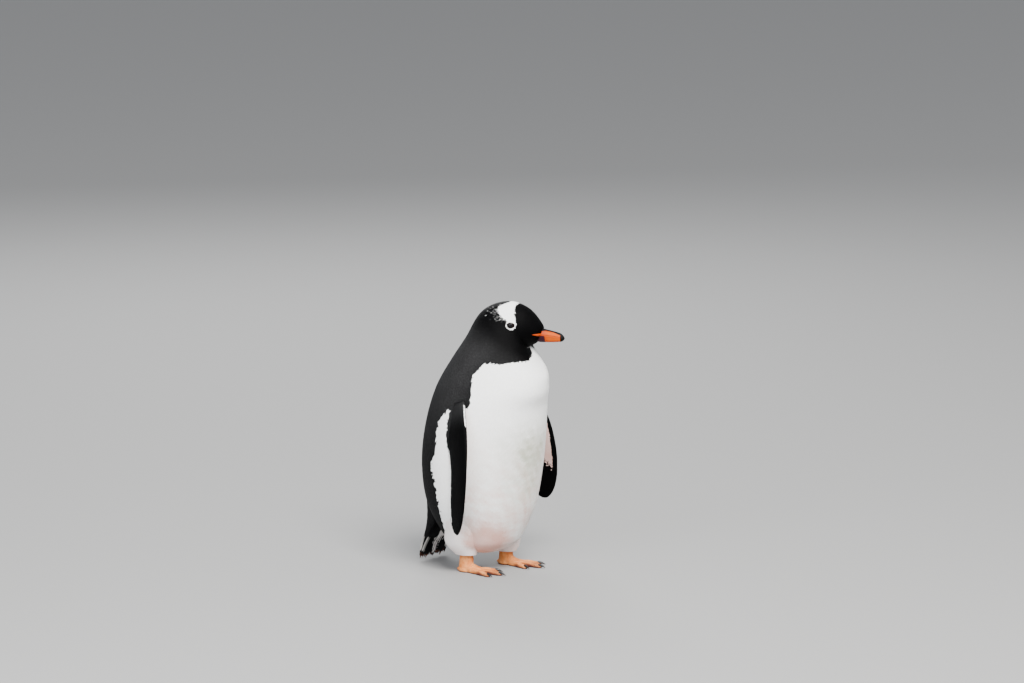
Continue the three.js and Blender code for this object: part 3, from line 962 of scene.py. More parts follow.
class Sock:
    """An output socket with arithmetic: an expression on it adds its Math nodes."""

    def __init__(self, shader: "Shader", socket: bpy.types.NodeSocket) -> None:
        """Wraps one output socket of a shader."""
        self.shader = shader
        self.socket = socket

    def out(self, key: str | int) -> "Sock":
        """Another output of the same node, by name or number."""
        return Sock(self.shader, self.socket.node.outputs[key])

    def math(self, operation: str, *values: Value) -> "Sock":
        """A Math node's result on these values."""
        return self.shader.node("ShaderNodeMath", {"operation": operation}, dict(enumerate(values)))

    def __add__(self, other: Value) -> "Sock":
        """self + other."""
        return self.math("ADD", self, other)

    def __radd__(self, other: Value) -> "Sock":
        """other + self."""
        return self.math("ADD", other, self)

    def __sub__(self, other: Value) -> "Sock":
        """self - other."""
        return self.math("SUBTRACT", self, other)

    def __rsub__(self, other: Value) -> "Sock":
        """other - self."""
        return self.math("SUBTRACT", other, self)

    def __mul__(self, other: Value) -> "Sock":
        """self * other."""
        return self.math("MULTIPLY", self, other)

    def __rmul__(self, other: Value) -> "Sock":
        """other * self."""
        return self.math("MULTIPLY", other, self)

    def __pow__(self, other: Value) -> "Sock":
        """self to the power of other."""
        return self.math("POWER", self, other)

    def sin(self) -> "Sock":
        """Sine of the value."""
        return self.math("SINE", self)

    def abs(self) -> "Sock":
        """Value without its sign."""
        return self.math("ABSOLUTE", self)

    def ramp(self, start: float, stop: float) -> "Sock":
        """Smooth step from 0 at start to 1 at stop."""
        return self.shader.node("ShaderNodeMapRange", {"interpolation_type": "SMOOTHSTEP"},
                                {"Value": self, "From Min": start, "From Max": stop})


class Shader:
    """Builds one material's node tree."""

    def __init__(self, name: str) -> None:
        """Starts an empty material with a Principled shader."""
        self.material = bpy.data.materials.new(name)
        self.material.use_nodes = True
        self.tree = self.material.node_tree
        self.tree.nodes.clear()
        self.surface = self.tree.nodes.new("ShaderNodeBsdfPrincipled")
        output = self.tree.nodes.new("ShaderNodeOutputMaterial")
        self.tree.links.new(self.surface.outputs[0], output.inputs["Surface"])

    def feed(self, socket: bpy.types.NodeSocket, value: object) -> None:
        """Links a wrapped socket to an input, or sets its value."""
        if isinstance(value, Sock):
            self.tree.links.new(value.socket, socket)
        else:
            socket.default_value = value

    def node(self, kind: str, settings: dict[str, object], sockets: dict[str | int, object]) -> Sock:
        """Adds a node.

        Args:
            kind: Blender's type name.
            settings: properties of the node, set first.
            sockets: values or links of its inputs, by name or number.

        Returns:
            Its first output.
        """
        made = self.tree.nodes.new(kind)
        for key, value in settings.items():
            setattr(made, key, value)
        for key, value in sockets.items():
            self.feed(made.inputs[key], value)
        return Sock(self, made.outputs[0])

    def vector(self, name: str) -> tuple[Sock, Sock, Sock]:
        """The three values of a vertex attribute."""
        source = self.node("ShaderNodeAttribute", {"attribute_name": name}, {}).out("Vector")
        split = self.node("ShaderNodeSeparateXYZ", {}, {"Vector": source})
        return split, split.out("Y"), split.out("Z")

    def place(self) -> Sock:
        """Object coordinates, in metres."""
        return self.node("ShaderNodeTexCoord", {}, {}).out("Object")

    def noise(self, scale: float, detail: float = 3.0) -> Sock:
        """Noise on object coordinates, about 0 to 1, with scale in lumps per metre."""
        sockets = {"Vector": self.place(), "Scale": scale, "Detail": detail, "Roughness": 0.55}
        return self.node("ShaderNodeTexNoise", {}, sockets)

    def mix(self, share: object, first: object, second: object) -> Sock:
        """Colour that runs from first to second."""
        return self.node("ShaderNodeMix", {"data_type": "RGBA"}, {0: share, 6: first, 7: second}).out(2)

    def bump(self, height: Sock, strength: float, distance: float) -> Sock:
        """Normal bent by a height, in a depth given in metres."""
        sockets = {"Height": height, "Strength": strength, "Distance": distance}
        return self.node("ShaderNodeBump", {}, sockets)

    def finish(self, **sockets: object) -> Material:
        """Feeds the Principled shader, with spaces in names written as underscores."""
        for key, value in sockets.items():
            self.feed(self.surface.inputs[key.replace("_", " ")], value)
        return self.material


def rgb(red: float, green: float, blue: float) -> Colour:
    """Linear colour with full alpha."""
    return red, green, blue, 1.0


@dataclass(frozen=True)
class PlumageFinish:
    """Feathers: black or white by their marking, with a shaft, fine barbs and a paler fringe.

    The attribute mark holds the markings. The attribute vane holds the place along
    a feather and across it, and a number that each feather draws for itself.
    """

    black: Colour = rgb(0.0006, 0.0006, 0.0007)
    fringe: Colour = rgb(0.030, 0.030, 0.031)
    slate: Colour = rgb(0.0150, 0.0150, 0.0153)
    white: Colour = rgb(0.90, 0.90, 0.89)
    cream: Colour = rgb(0.78, 0.78, 0.76)
    stain: Colour = rgb(0.62, 0.36, 0.30)
    # Greenish grey for dirt and for painted shade over the lower belly.
    dirt: Colour = rgb(0.40, 0.41, 0.32)
    rust: Colour = rgb(0.11, 0.035, 0.018)
    relief: float = 0.00022  # metres

    def make(self) -> Material:
        """Builds the material."""
        s = Shader("plumage")
        white, grey, stain = s.vector("mark")
        along, across, chance = s.vector("vane")
        blotch = s.noise(28.0, 4.0)
        dark = s.mix(grey * (0.55 + 0.6 * blotch), self.black, self.slate)
        fringe = along.ramp(0.72, 1.0) * (0.25 + 0.75 * chance) * (0.4 + 0.9 * blotch)
        dark = s.mix(fringe * (0.10 + 0.75 * grey), dark, self.fringe)
        dark = s.mix(stain.ramp(0.45, 0.95), dark, self.rust)
        pale = s.mix((1.0 - chance) * 0.45 + along.ramp(0.5, 0.0) * 0.4, self.white, self.cream)
        # Dirt and painted shade over the lower belly.
        pale = s.mix(grey * (0.5 + 0.7 * blotch), pale, self.dirt)
        pale = s.mix(stain * (0.55 + 0.7 * blotch), pale, self.stain)
        shaft = 1.0 - across.abs().ramp(0.0, 0.16)
        colour = s.mix(white.ramp(0.05, 0.95), dark, pale)
        barbs = ((across.abs() * 9.0 + along * 26.0).sin() * 0.5 + 0.5) * 0.5 + shaft * 0.8
        normal = s.bump(barbs + s.noise(2600.0, 2.0) * 0.6, 0.35, self.relief)
        rough = 0.46 + 0.16 * blotch + 0.12 * white
        return s.finish(Base_Color=colour, Roughness=rough, Normal=normal, Specular_IOR_Level=0.03)


@dataclass(frozen=True)
class SkinFinish:
    """Skin: the plumage's markings under the coat, salmon scutes on the feet, dark soles, and painted shade
    between the toes and along the soles.
    """

    black: Colour = rgb(0.0015, 0.0015, 0.0017)
    white: Colour = rgb(0.84, 0.83, 0.81)
    foot: Colour = rgb(0.58, 0.170, 0.036)
    foot_pale: Colour = rgb(0.74, 0.31, 0.105)
    # Colour of the dark soles, scute grooves and toe ends, and of the painted shade between the toes and
    # along the soles.
    foot_dark: Colour = rgb(0.050, 0.010, 0.012)
    lid: Colour = rgb(0.82, 0.80, 0.77)
    lid_rim: Colour = rgb(0.0012, 0.0010, 0.0010)
    cells_per_metre: float = 520.0
    relief: float = 0.0005  # metres

    def make(self) -> Material:
        """Builds the material."""
        s = Shader("skin")
        white, _, _ = s.vector("mark")
        bare, dark_and_shade, lid = s.vector("bare")
        along, ridged, _ = s.vector("scute")
        blotch = s.noise(90.0, 4.0)
        coat = s.mix(white, self.black, self.white)
        foot = s.mix(blotch.ramp(0.3, 0.75), self.foot, self.foot_pale)
        grooves = (along * TAU).sin().abs() ** 0.5
        cells = s.node("ShaderNodeTexVoronoi", {"feature": "DISTANCE_TO_EDGE"},
                       {"Vector": s.place(), "Scale": self.cells_per_metre}).out("Distance")
        cell = cells.ramp(0.0, 0.14)
        # Darkens the foot: dark soles with painted shade along them and between the toes, darker toe ends,
        # scute grooves and cell edges.
        foot = s.mix(dark_and_shade + (1.0 - grooves) * ridged * 0.35 + (1.0 - cell) * 0.18, foot, self.foot_dark)
        colour = s.mix(bare, coat, foot)
        colour = s.mix(lid, colour, s.mix(dark_and_shade, self.lid, self.lid_rim))
        height = grooves * ridged * 0.8 + cell * 0.5 + s.noise(1500.0) * 0.35
        normal = s.bump(height * bare + s.noise(1800.0) * 0.3 * lid, 0.55, self.relief)
        return s.finish(Base_Color=colour, Roughness=0.52 + 0.2 * blotch, Normal=normal,
                        Specular_IOR_Level=0.15)


@dataclass(frozen=True)
class BillFinish:
    """Horn of the bill: orange sides, black ridge and tip, dusky feathered base, painted shade under the
    lower half.
    """

    orange: Colour = rgb(0.30, 0.030, 0.0001)
    amber: Colour = rgb(0.44, 0.068, 0.0002)
    black: Colour = rgb(0.0020, 0.0017, 0.0017)
    dusk: Colour = rgb(0.022, 0.0050, 0.010)
    streaks_per_metre: tuple[float, float, float] = (500.0, 120.0, 900.0)
    relief: float = 0.0003  # metres

    def make(self) -> Material:
        """Builds the material."""
        s = Shader("bill horn")
        dark, dusk, glow = s.vector("horn")
        grain = s.noise(420.0, 4.0)
        drawn_out = s.node("ShaderNodeMapping", {}, {"Vector": s.place(), "Scale": self.streaks_per_metre})
        streak = s.node("ShaderNodeTexNoise", {}, {"Vector": drawn_out, "Scale": 1.0, "Detail": 3.0})
        colour = s.mix(glow * (0.5 + streak * 0.8), self.orange, self.amber)
        colour = s.mix((dusk + (streak - 0.5) * 0.3).ramp(0.3, 0.75), colour, self.dusk)
        # Black of the tip and ridge, and painted shade under the lower half.
        colour = s.mix((dark + (streak - 0.5) * 0.25).ramp(0.38, 0.62), colour, self.black)
        normal = s.bump(grain * 0.5 + streak, 0.25, self.relief)
        return s.finish(Base_Color=colour, Roughness=0.34 + 0.16 * grain, Normal=normal,
                        Specular_IOR_Level=0.08)


@dataclass(frozen=True)
class EyeFinish:
    """Wet eye: brown iris with fine rays round a black pupil."""

    pupil: Colour = rgb(0.002, 0.002, 0.003)
    iris: Colour = rgb(0.011, 0.0035, 0.0018)
    rim: Colour = rgb(0.0015, 0.0008, 0.0008)

    def make(self) -> Material:
        """Builds the material."""
        s = Shader("eye")
        reach, turn, _ = s.vector("gaze")
        rays = (turn * 34.0).sin() * 0.5 + 0.5
        iris = s.mix(rays * 0.5 + s.noise(900.0) * 0.3, self.iris, self.rim)
        iris = s.mix(reach.ramp(0.62, 0.78), iris, self.rim)
        colour = s.mix(reach.ramp(0.53, 0.49), iris, self.pupil)
        return s.finish(Base_Color=colour, Roughness=0.05, Specular_IOR_Level=0.16)


@dataclass(frozen=True)
class ClawFinish:
    """Dark claws, worn paler at the tips."""

    dark: Colour = rgb(0.0060, 0.0040, 0.0038)
    worn: Colour = rgb(0.06, 0.045, 0.038)
    relief: float = 0.0003  # metres

    def make(self) -> Material:
        """Builds the material."""
        s = Shader("claw horn")
        along, _, _ = s.vector("claw")
        grain = s.noise(700.0, 4.0)
        colour = s.mix(along.ramp(0.75, 1.0) * grain, self.dark, self.worn)
        normal = s.bump(grain, 0.3, self.relief)
        return s.finish(Base_Color=colour, Roughness=0.34 + 0.2 * grain, Normal=normal)


@dataclass(frozen=True)
class FloorFinish:
    """Plain pale floor."""

    colour: Colour = rgb(0.24, 0.24, 0.238)

    def make(self) -> Material:
        """Builds the material."""
        return Shader("floor").finish(Base_Color=self.colour, Roughness=0.85)


# ---- plumage

@dataclass(frozen=True)
class Growth:
    """How feathers grow along a form, each size a curve over the form's a, in millimetres."""

    pitch: Curve
    length: Curve
    half_width: Curve
    root: Curve  # depth of the root under the form
    tip: Curve  # depth of the tip
    crown: float  # height of the vane's middle as a share of its half width
    sway: float = 0.07  # radians of scatter in the lie
    stir: float = 0.03  # scatter of the tips' depth as a share of the root's
    sweep: float = 0.0  # radians that the lie turns towards growing b where sin b is 1
    least_stretch: float = 0.0  # metres for a unit of a, below which feathers in a fold are shortened


class Coat:
    """Feathers as closed vanes that follow the lie of the coat on a form.

    A vane is a point at the root, three rows of three points and a point at the
    tip. Its middle line follows the form at a depth that falls from root to tip,
    its sides stand off it square to the surface, and its middle is raised.
    """

    stations: Array = np.array([0.0, 0.25, 0.6, 0.86, 1.0])
    widths: Array = np.array([0.7, 1.0, 0.68])
    rim: Array = np.array([[0, 1], [1, 4], [4, 7], [7, 10], [0, 3], [3, 6], [6, 9], [9, 10]])
    corners: int = 11  # vertices of a vane
    shown: int = 3  # station of a vane that the overlap leaves in view
    patch: float = 0.003  # size of a vane on the baking map

    def __init__(self, form: Form, growth: Growth, seed: int) -> None:
        """Keeps the form, the sizes and a seeded generator."""
        self.form = form
        self.growth = growth
        self.rng = np.random.default_rng(seed)

    def scatter(self) -> tuple[Array, Array]:
        """Roots spread evenly over the form, one for each square of the local pitch.

        Returns:
            The parameters a and b of the roots.
        """
        rows, turns = 260, 240
        a_edge = np.linspace(self.form.low, self.form.high, rows + 1)
        b_edge = np.linspace(0.0, TAU, turns + 1)
        a, b = np.meshgrid((a_edge[1:] + a_edge[:-1]) / 2, (b_edge[1:] + b_edge[:-1]) / 2, indexing="ij")
        here = self.form.contact(a, b)
        cell = np.linalg.norm(np.cross(here.along, here.round), axis=-1)
        cell *= (a_edge[1] - a_edge[0]) * (b_edge[1] - b_edge[0])
        weight = cell / (curve_at(self.growth.pitch, a) * MM) ** 2 + 1e-12
        by_row = np.concatenate([[0.0], np.cumsum(weight.sum(1))])
        count = int(by_row[-1])
        order = np.arange(count) + 0.5
        u, v = (order * step % 1.0 for step in R2_STEPS)
        roots_a = np.interp(u * by_row[-1], by_row, a_edge)
        row = np.clip(np.searchsorted(a_edge, roots_a) - 1, 0, rows - 1)
        share = np.concatenate([np.zeros((rows, 1)), np.cumsum(weight, 1)], 1)
        share /= share[:, -1:]
        flat = (share * 0.999999 + np.arange(rows)[:, None]).ravel()
        roots_b = np.interp(row + v * 0.999999, flat, np.tile(b_edge, rows))
        return roots_a, roots_b

    def lines(self, a: Array, b: Array, length: Array) -> tuple[Array, Array, Contact]:
        """Middle lines of the vanes, walked along the lie of the coat in short steps.

        Args:
            a: roots along the form.
            b: roots round it.
            length: lengths of the vanes in metres.

        Returns:
            a, b and contact at every station, with the stations on the second axis.
        """
        grow = self.growth
        here = self.form.contact(a, b)
        heading = grow.sweep * np.sin(b)
        heading = heading + grow.sway * (self.rng.normal(size=len(a)) * 0.6 + ripple(here.point, 0.05, 21))
        all_a, all_b, met = [a], [b], [here]
        for step in np.diff(self.stations):
            here = met[-1]
            wide = np.maximum(np.linalg.norm(here.round, axis=-1), 0.004)
            long = np.maximum(np.linalg.norm(here.along, axis=-1), grow.least_stretch)
            ahead = self.form.lie * np.cos(heading) * step * length / long
            all_a.append(all_a[-1] + ahead)
            all_b.append(all_b[-1] + np.sin(heading) * step * length / wide)
            met.append(self.form.contact(all_a[-1], all_b[-1]))
        stack = (np.stack([getattr(place, key) for place in met], 1) for key in Contact.__annotations__)
        return np.stack(all_a, 1), np.stack(all_b, 1), Contact(*stack)

    def vanes(self, a: Array, b: Array, paint: Paint, clear: Clear | None = None) -> Shape:
        """Vanes at these roots.

        Args:
            a: places along the form.
            b: angles round it.
            paint: one of the rules for feathers, asked where the vanes show.
            clear: true for places that a vane may cover.

        Returns:
            All the vanes as one shape with the values mark and vane.
        """
        grow, rng = self.growth, self.rng
        size = np.stack([curve_at(grow.length, a), curve_at(grow.half_width, a)], -1) * MM
        size *= np.stack([0.86 + 0.28 * rng.uniform(size=len(a)), 0.9 + 0.2 * rng.uniform(size=len(a))], -1)
        line_a, line_b, here = self.lines(a, b, size[:, 0])
        if clear is not None:
            keep = clear(here.point).all(1)
            line_a, line_b, size = line_a[keep], line_b[keep], size[keep]
            here = Contact(*(getattr(here, key)[keep] for key in Contact.__annotations__))
        marks = paint(line_a[:, self.shown], line_b[:, self.shown], here.point[:, self.shown], rng)
        count, u = len(line_a), self.stations
        chance = rng.uniform(size=count)
        half = size[:, 1]
        root, tip = (curve_at(curve, line_a[:, :1]) for curve in (grow.root, grow.tip))
        depth = root * (1 - u ** 0.9) + tip * u ** 0.9
        depth = (depth + rng.normal(size=(count, 1)) * grow.stir * root * u) * MM
        middle = here.point - here.normal * depth[..., None]
        ahead = unit(np.gradient(middle, axis=1))
        left = unit(np.cross(here.normal, ahead))
        side = left[:, 1:4] * (half[:, None] * self.widths)[..., None]
        raised = middle[:, 1:4] + here.normal[:, 1:4] * (half * grow.crown)[:, None, None]
        lowered = middle[:, 1:4] - here.normal[:, 1:4] * (half * grow.crown * 0.8)[:, None, None]
        rows = np.stack([lowered + side, raised, lowered - side], 2)
        verts = np.concatenate([middle[:, :1], rows.reshape(count, 9, 3), middle[:, 4:]], 1)
        quads, tris = self.faces()
        offset = (np.arange(count) * self.corners)[:, None, None]
        local_along = np.concatenate([[0.0], np.repeat(u[1:4], 3), [1.0]])
        local_across = np.concatenate([[0.0], np.tile([1.0, 0.0, -1.0], 3), [0.0]])
        vane = np.stack(np.broadcast_arrays(local_along, local_across, chance[:, None]), -1)
        return Shape(
            verts.reshape(-1, 3), (quads + offset).reshape(-1, 4), (tris + offset).reshape(-1, 3),
            {"mark": np.repeat(marks, self.corners, 0), "vane": vane.reshape(-1, 3)},
            self.unwrap(line_a[:, 0], line_b[:, 0], local_along, local_across),
            (self.rim + offset).reshape(-1, 2))

    def unwrap(self, a: Array, b: Array, along: Array, across: Array) -> Array:
        """Baking map: each vane is a small patch at its root's place on the form's unwrap.

        Args:
            a: roots along the form.
            b: roots round it.
            along: a vane's corners along it.
            across: and across it.

        Returns:
            The map's place for every corner of every vane.
        """
        place = np.stack([b % TAU, a], -1)
        low, high = place.min(0), place.max(0)
        place = 0.01 + 0.98 * (place - low) / np.maximum(high - low, 1e-9)
        local = np.stack([across * 0.5, along - 0.5], -1) * self.patch
        return np.clip(place[:, None, :] + local, 0.001, 0.999).reshape(-1, 2)

    @staticmethod
    def faces() -> tuple[Array, Array]:
        """Quads and triangles of one vane: root 0, rows of left, middle, right, and tip 10."""
        quads = [[2, 3, 6, 5], [1, 2, 5, 4], [5, 6, 9, 8], [4, 5, 8, 7], [3, 1, 4, 6], [6, 4, 7, 9]]
        tris = [[0, 3, 2], [0, 2, 1], [8, 9, 10], [7, 8, 10], [0, 1, 3], [9, 7, 10]]
        return np.array(quads), np.array(tris)


@dataclass
class Plumage:
    """All the feathers that lie on the forms."""

    body_names: tuple[str, ...] = ("belly", "flanks", "breast", "shoulders", "neck", "crown", "face")
    body: Growth = Growth(
        pitch=((0, 2.6), (5.5, 2.6), (7, 2.15), (8, 1.68), (9, 1.35), (10.5, 1.15), (12, 0.95)),
        length=((0, 15), (5, 15), (6.5, 12.5), (7.5, 8.8), (8.5, 6.0), (10, 4.5), (11, 3.4), (12, 2.6)),
        half_width=((0, 2.3), (5.5, 2.3), (7, 1.95), (8, 1.5), (9, 1.2), (10.5, 0.95), (12, 0.8)),
        root=((0, 2.6), (6, 2.6), (7.5, 1.9), (8.5, 1.4), (10, 1.1), (12, 0.8)),
        tip=((0, 0.5), (6, 0.5), (8.5, 0.3), (12, 0.15)), crown=0.06, least_stretch=0.014)
    flipper: Growth = Growth(
        pitch=((0, 2.1), (1, 1.65)), length=((0, 8), (0.3, 6.6), (0.85, 5.0), (1, 3.2)),
        half_width=((0, 1.75), (1, 1.2)), root=((0, 1.2), (0.6, 0.9), (1, 0.55)), tip=((0, 0.2), (1, 0.12)),
        sway=0.05, crown=0.07, sweep=0.18)
    leg: Growth = Growth(
        pitch=((0, 2.45), (0.5, 2.4), (1, 1.9)), length=((0, 15), (0.5, 14), (1, 8)),
        half_width=((0, 2.3), (0.5, 2.2), (1, 1.5)), root=((0, 2.8), (1, 2.2)),
        tip=((0, 0.6), (0.6, 0.3), (1, 0.1)), stir=0.06, sway=0.10, crown=0.06)
    tail: Growth = Growth(
        pitch=((0, 2.8), (1, 2.6)), length=((0, 20), (1, 17)), half_width=((0, 2.7), (1, 2.0)),
        root=((0, 3.2), (1, 2.0)), tip=((0, 0.3), (1, 0.2)), crown=0.07, sway=0.06)
    rump: Growth = Growth(
        pitch=((0, 3.0), (1, 3.0)), length=((0, 18), (1, 21)), half_width=((0, 2.7), (1, 2.7)),
        root=((0, 3.2), (1, 3.2)), tip=((0, 0.5), (1, 0.3)), crown=0.06, sway=0.10)

    eye_clear: Pair = (8.7, 6.5)  # half axes of the bare opening round the eye
    mouth_f: float = 107.5  # the mouth's corner shows in front of this
    mouth_z: float = 459.8
    mouth_half: float = 1.7
    # feathers grow past this share of the way from the body's middle to its surface
    flipper_clear: float = 0.94
    leg_clear: float = 0.96
    tail_clear: float = 0.97
    rump_cover: float = 0.995
    seeds: dict[str, int] = field(default_factory=lambda: {
        "body": 11, "flipper_left": 31, "flipper_right": 37, "leg_left": 41, "leg_right": 43,
        "tail_coverts": 47, "rump": 53})

    def opening(self, points: Array) -> Array:
        """True outside the eyes' openings and the mouth's corners, where feathers may lie."""
        level, upright = MARKS.eye_offset(points)
        own = STANCE.unhead(points)
        mouth = (own[..., 1] > self.mouth_f) & (np.abs(own[..., 2] - self.mouth_z) < self.mouth_half)
        return (np.hypot(level / self.eye_clear[0], upright / self.eye_clear[1]) > 1.0) & ~mouth

    def cover_body(self, finish: Material) -> None:
        """Feathers of trunk, neck and head, in pieces from the vent up."""
        coat = Coat(BODY, self.body, self.seeds["body"])
        a, b = coat.scatter()
        order = np.argsort(a)
        for name, part in zip(self.body_names, np.array_split(order, len(self.body_names))):
            self.add(name, coat.vanes(a[part], b[part], MARKS.body, self.opening), finish)

    def cover_flipper(self, side: Side, finish: Material) -> None:
        """Scale-like feathers of a flipper outside the body, with a row of its own for the white line."""
        name, form = f"flipper_{side.word}", FLIPPERS[side]
        coat = Coat(form, self.flipper, self.seeds[name])
        a, b = coat.scatter()
        line = np.linspace(0.02, MARKS.edge_line_end, 90)
        a, b = np.append(a, line), np.append(b, 0.0 * line)
        keep = BODY.locate(form.at(a, b))[2] > self.flipper_clear
        self.add(name, coat.vanes(a[keep], b[keep], MARKS.flipper_feathers), finish)

    def cover_leg(self, side: Side, finish: Material) -> None:
        """Loose feathers of a thigh outside the body."""
        name, form = f"leg_{side.word}", LEGS[side]
        coat = Coat(form, self.leg, self.seeds[name])
        a, b = coat.scatter()
        keep = BODY.locate(form.at(a, b))[2] > self.leg_clear
        self.add(name, coat.vanes(a[keep], b[keep], MARKS.leg), finish)

    def cover_tail(self, finish: Material) -> None:
        """Coverts over and under the root of the tail, longest along the middle below."""
        coat = Coat(TAIL, self.tail, self.seeds["tail_coverts"])
        a, b = coat.scatter()
        outside = BODY.locate(TAIL.at(a, b))[2] > self.tail_clear
        centred = np.exp(-(np.cos(b) / 0.34) ** 2)
        upper_reach = 0.44 + 0.10 * coat.rng.uniform(size=a.shape)
        lower_reach = 0.50 + 0.34 * centred * coat.rng.uniform(0.7, 1.0, a.shape)
        keep = outside & (a < np.where(np.sin(b) > -0.15, upper_reach, lower_reach))
        self.add("tail_coverts", coat.vanes(a[keep], b[keep], MARKS.tail), finish)

    def cover_rump(self, finish: Material) -> None:
        """Feathers that carry the line of the back on to the tail, where their tips clear the body."""
        coat = Coat(RUMP, self.rump, self.seeds["rump"])
        a, b = coat.scatter()
        ahead = RUMP.at(np.minimum(a + 0.14, 0.97), b)
        shown = BODY.locate(ahead)[2] > self.rump_cover
        keep = shown & (a < 0.80 + 0.06 * coat.rng.uniform(size=a.shape))
        self.add("rump", coat.vanes(a[keep], b[keep], MARKS.rump), finish)

    @staticmethod
    def add(name: str, shape: Shape, finish: Material) -> None:
        """Adds one piece of coat."""
        slot = "white_plumage" if name == "belly" else "black_plumage"
        Piece.add(f"feathers_{name}", shape, finish, slot)


# ---- feet

@dataclass
class Foot:
    """A foot: shank, heel pad, three scaled toes and the web between them."""

    x: float
    f: float
    side: Side
    yaw: float = 10.0  # degrees that the middle toe points to the bird's left
    # name, degrees away from the middle toe, length
    toes: tuple[tuple[str, float, float], ...] = (("inner", -20, 64), ("middle", 0, 80), ("outer", 19, 70))
    toe_half: float = 6.6
    toe_height: float = 12.0
    knuckle: float = 0.07  # share by which a toe is wider at its knuckles
    scute: float = 3.4  # length of a toe's scute
    scute_rise: float = 0.45
    web_thick: float = 2.6
    web_reach: float = 58.0
    web_dip: float = 9.0  # how far its edge draws back between the toes
    heel_back: float = 17.0
    heel_long: float = 40.0
    heel_half: float = 12.5
    heel_rise: float = 9.5
    instep_heights: Pair = (10.0, 26.0)
    instep_reach: float = 34.0
    instep_half: float = 10.8
    shank_top: float = 48.0  # inside the thigh
    shank_half: float = 9.5
    shank_deep: float = 12.5
    claw_length: float = 14.0
    claw_radius: float = 3.2

    def heading(self, angle: float) -> tuple[Array, Array]:
        """Direction of a toe on the floor, and the direction square to it, in bird terms."""
        turn = math.radians(angle * self.side.value + self.yaw)
        ahead = np.array([math.sin(turn), math.cos(turn), 0.0])
        return ahead, np.array([ahead[1], -ahead[0], 0.0])

    def at(self, forward: Array, across: Array, z: Array, angle: float = 0.0) -> Array:
        """Places in the frame of points along and across a toe, or the foot's middle line."""
        ahead, side = self.heading(angle)
        base = np.array([self.x, self.f, 0.0])
        upright = z[..., None] * np.array([0.0, 0.0, 1.0])
        return STANCE.place(base + forward[..., None] * ahead + across[..., None] * side + upright)

    def toe(self, angle: float, length: float) -> Shape:
        """One toe: a flattened tube with knuckles, ridged by scutes over its top.

        Args:
            angle: degrees away from the middle toe.
            length: from the shank's middle to the toe's end.

        Returns:
            The closed toe.
        """
        s, a = grid_round(110, 36)
        cap = np.maximum(0.3, round_end(s / 0.12)) * np.maximum(0.42, round_end((1 - s) / 0.17))
        knuckles = np.cos(6 * math.pi * s)
        half = self.toe_half * (1 - 0.22 * s) * cap * (1 + self.knuckle * knuckles)
        tall = self.toe_height * (1 - 0.38 * s) * cap * (1 + 0.05 * knuckles)
        scutes = np.abs(np.sin(math.pi * s * length / self.scute)) ** 0.6 - 0.6
        ridge = self.scute_rise * scutes * smooth(np.sin(a) * 1.6)
        z = 0.42 * tall + (0.58 * tall + ridge) * np.sin(a)
        return tube(self.at(2 + (length - 2) * s, (half + ridge) * np.cos(a), np.maximum(z, 0.0), angle))

    def shank(self) -> Shape:
        """Upright tube from inside the thigh down to the sole, wider at the ankle."""
        s, a = grid_round(40, 40)
        fold = 1 + 0.02 * np.sin(s * 30) * smooth(np.sin(a) * 2)
        forward = 4 - 1.5 * s + self.shank_deep * (1 + 0.25 * s) * np.sin(a) * fold
        across = self.shank_half * (1 + 0.2 * s) * np.cos(a) * fold
        return tube(self.at(forward, across, self.shank_top * (1.0 - s)))

    def heel(self) -> Shape:
        """Rounded pad behind the toes."""
        s, a = grid_round(40, 32)
        r = np.maximum(0.12, np.sin(math.pi * (0.04 + 0.92 * s)))
        z = np.maximum(0.0, 4.5 + self.heel_rise * r * np.sin(a))
        return tube(self.at(-self.heel_back + self.heel_long * s, self.heel_half * r * np.cos(a), z))

    def instep(self) -> Shape:
        """Slope from the ankle down to the toes, flat-topped at the front."""
        s, a = grid_round(40, 36)
        low, high = self.instep_heights
        tall = low + (high - low) * (1 - s) ** 1.5
        cap = np.maximum(0.4, round_end((1 - s) / 0.2))
        z = 0.4 * tall + 0.6 * tall * cap * np.sin(a) + 0.25 * np.sin(s * 40.0) * smooth(np.sin(a) * 2)
        across = (self.instep_half + 2.4 * s) * cap * np.cos(a)
        return tube(self.at(2 + self.instep_reach * s, across, np.maximum(z, 0.0)))

    def web(self) -> Shape:
        """Skin between the toes: a fan whose edge dips between them and whose top sags."""
        angles = np.array([toe[1] for toe in self.toes], float)
        fan = np.linspace(angles[0], angles[-1], 60)
        turn, share = np.meshgrid(fan, np.linspace(0, 1, 50), indexing="ij")
        between = smooth(np.abs(turn[..., None] - angles).min(-1) / 10.0)
        reach = (self.web_reach - self.web_dip * between) * share + 3.0
        flat = np.radians(turn) * self.side.value
        across, forward = reach * np.sin(flat), reach * np.cos(flat)
        wrinkle = 0.25 * np.sin(turn * 1.7 + share * 9)
        top = self.web_thick * (1.0 + 0.9 * (1 - between) * (1 - 0.5 * share)) + wrinkle
        upper = self.at(forward, across, np.maximum(top * (1 - 0.55 * share ** 6), 0.9))
        lower = self.at(forward, across, np.zeros_like(top))
        return tube(np.concatenate([upper, lower[:, ::-1]], 1))

    def flesh(self) -> Shape:
        """Shank, heel, instep, toes and web as overlapping shells."""
        toes = [self.toe(angle, length) for _, angle, length in self.toes]
        return join([self.shank(), self.heel(), self.instep(), self.web()] + toes)

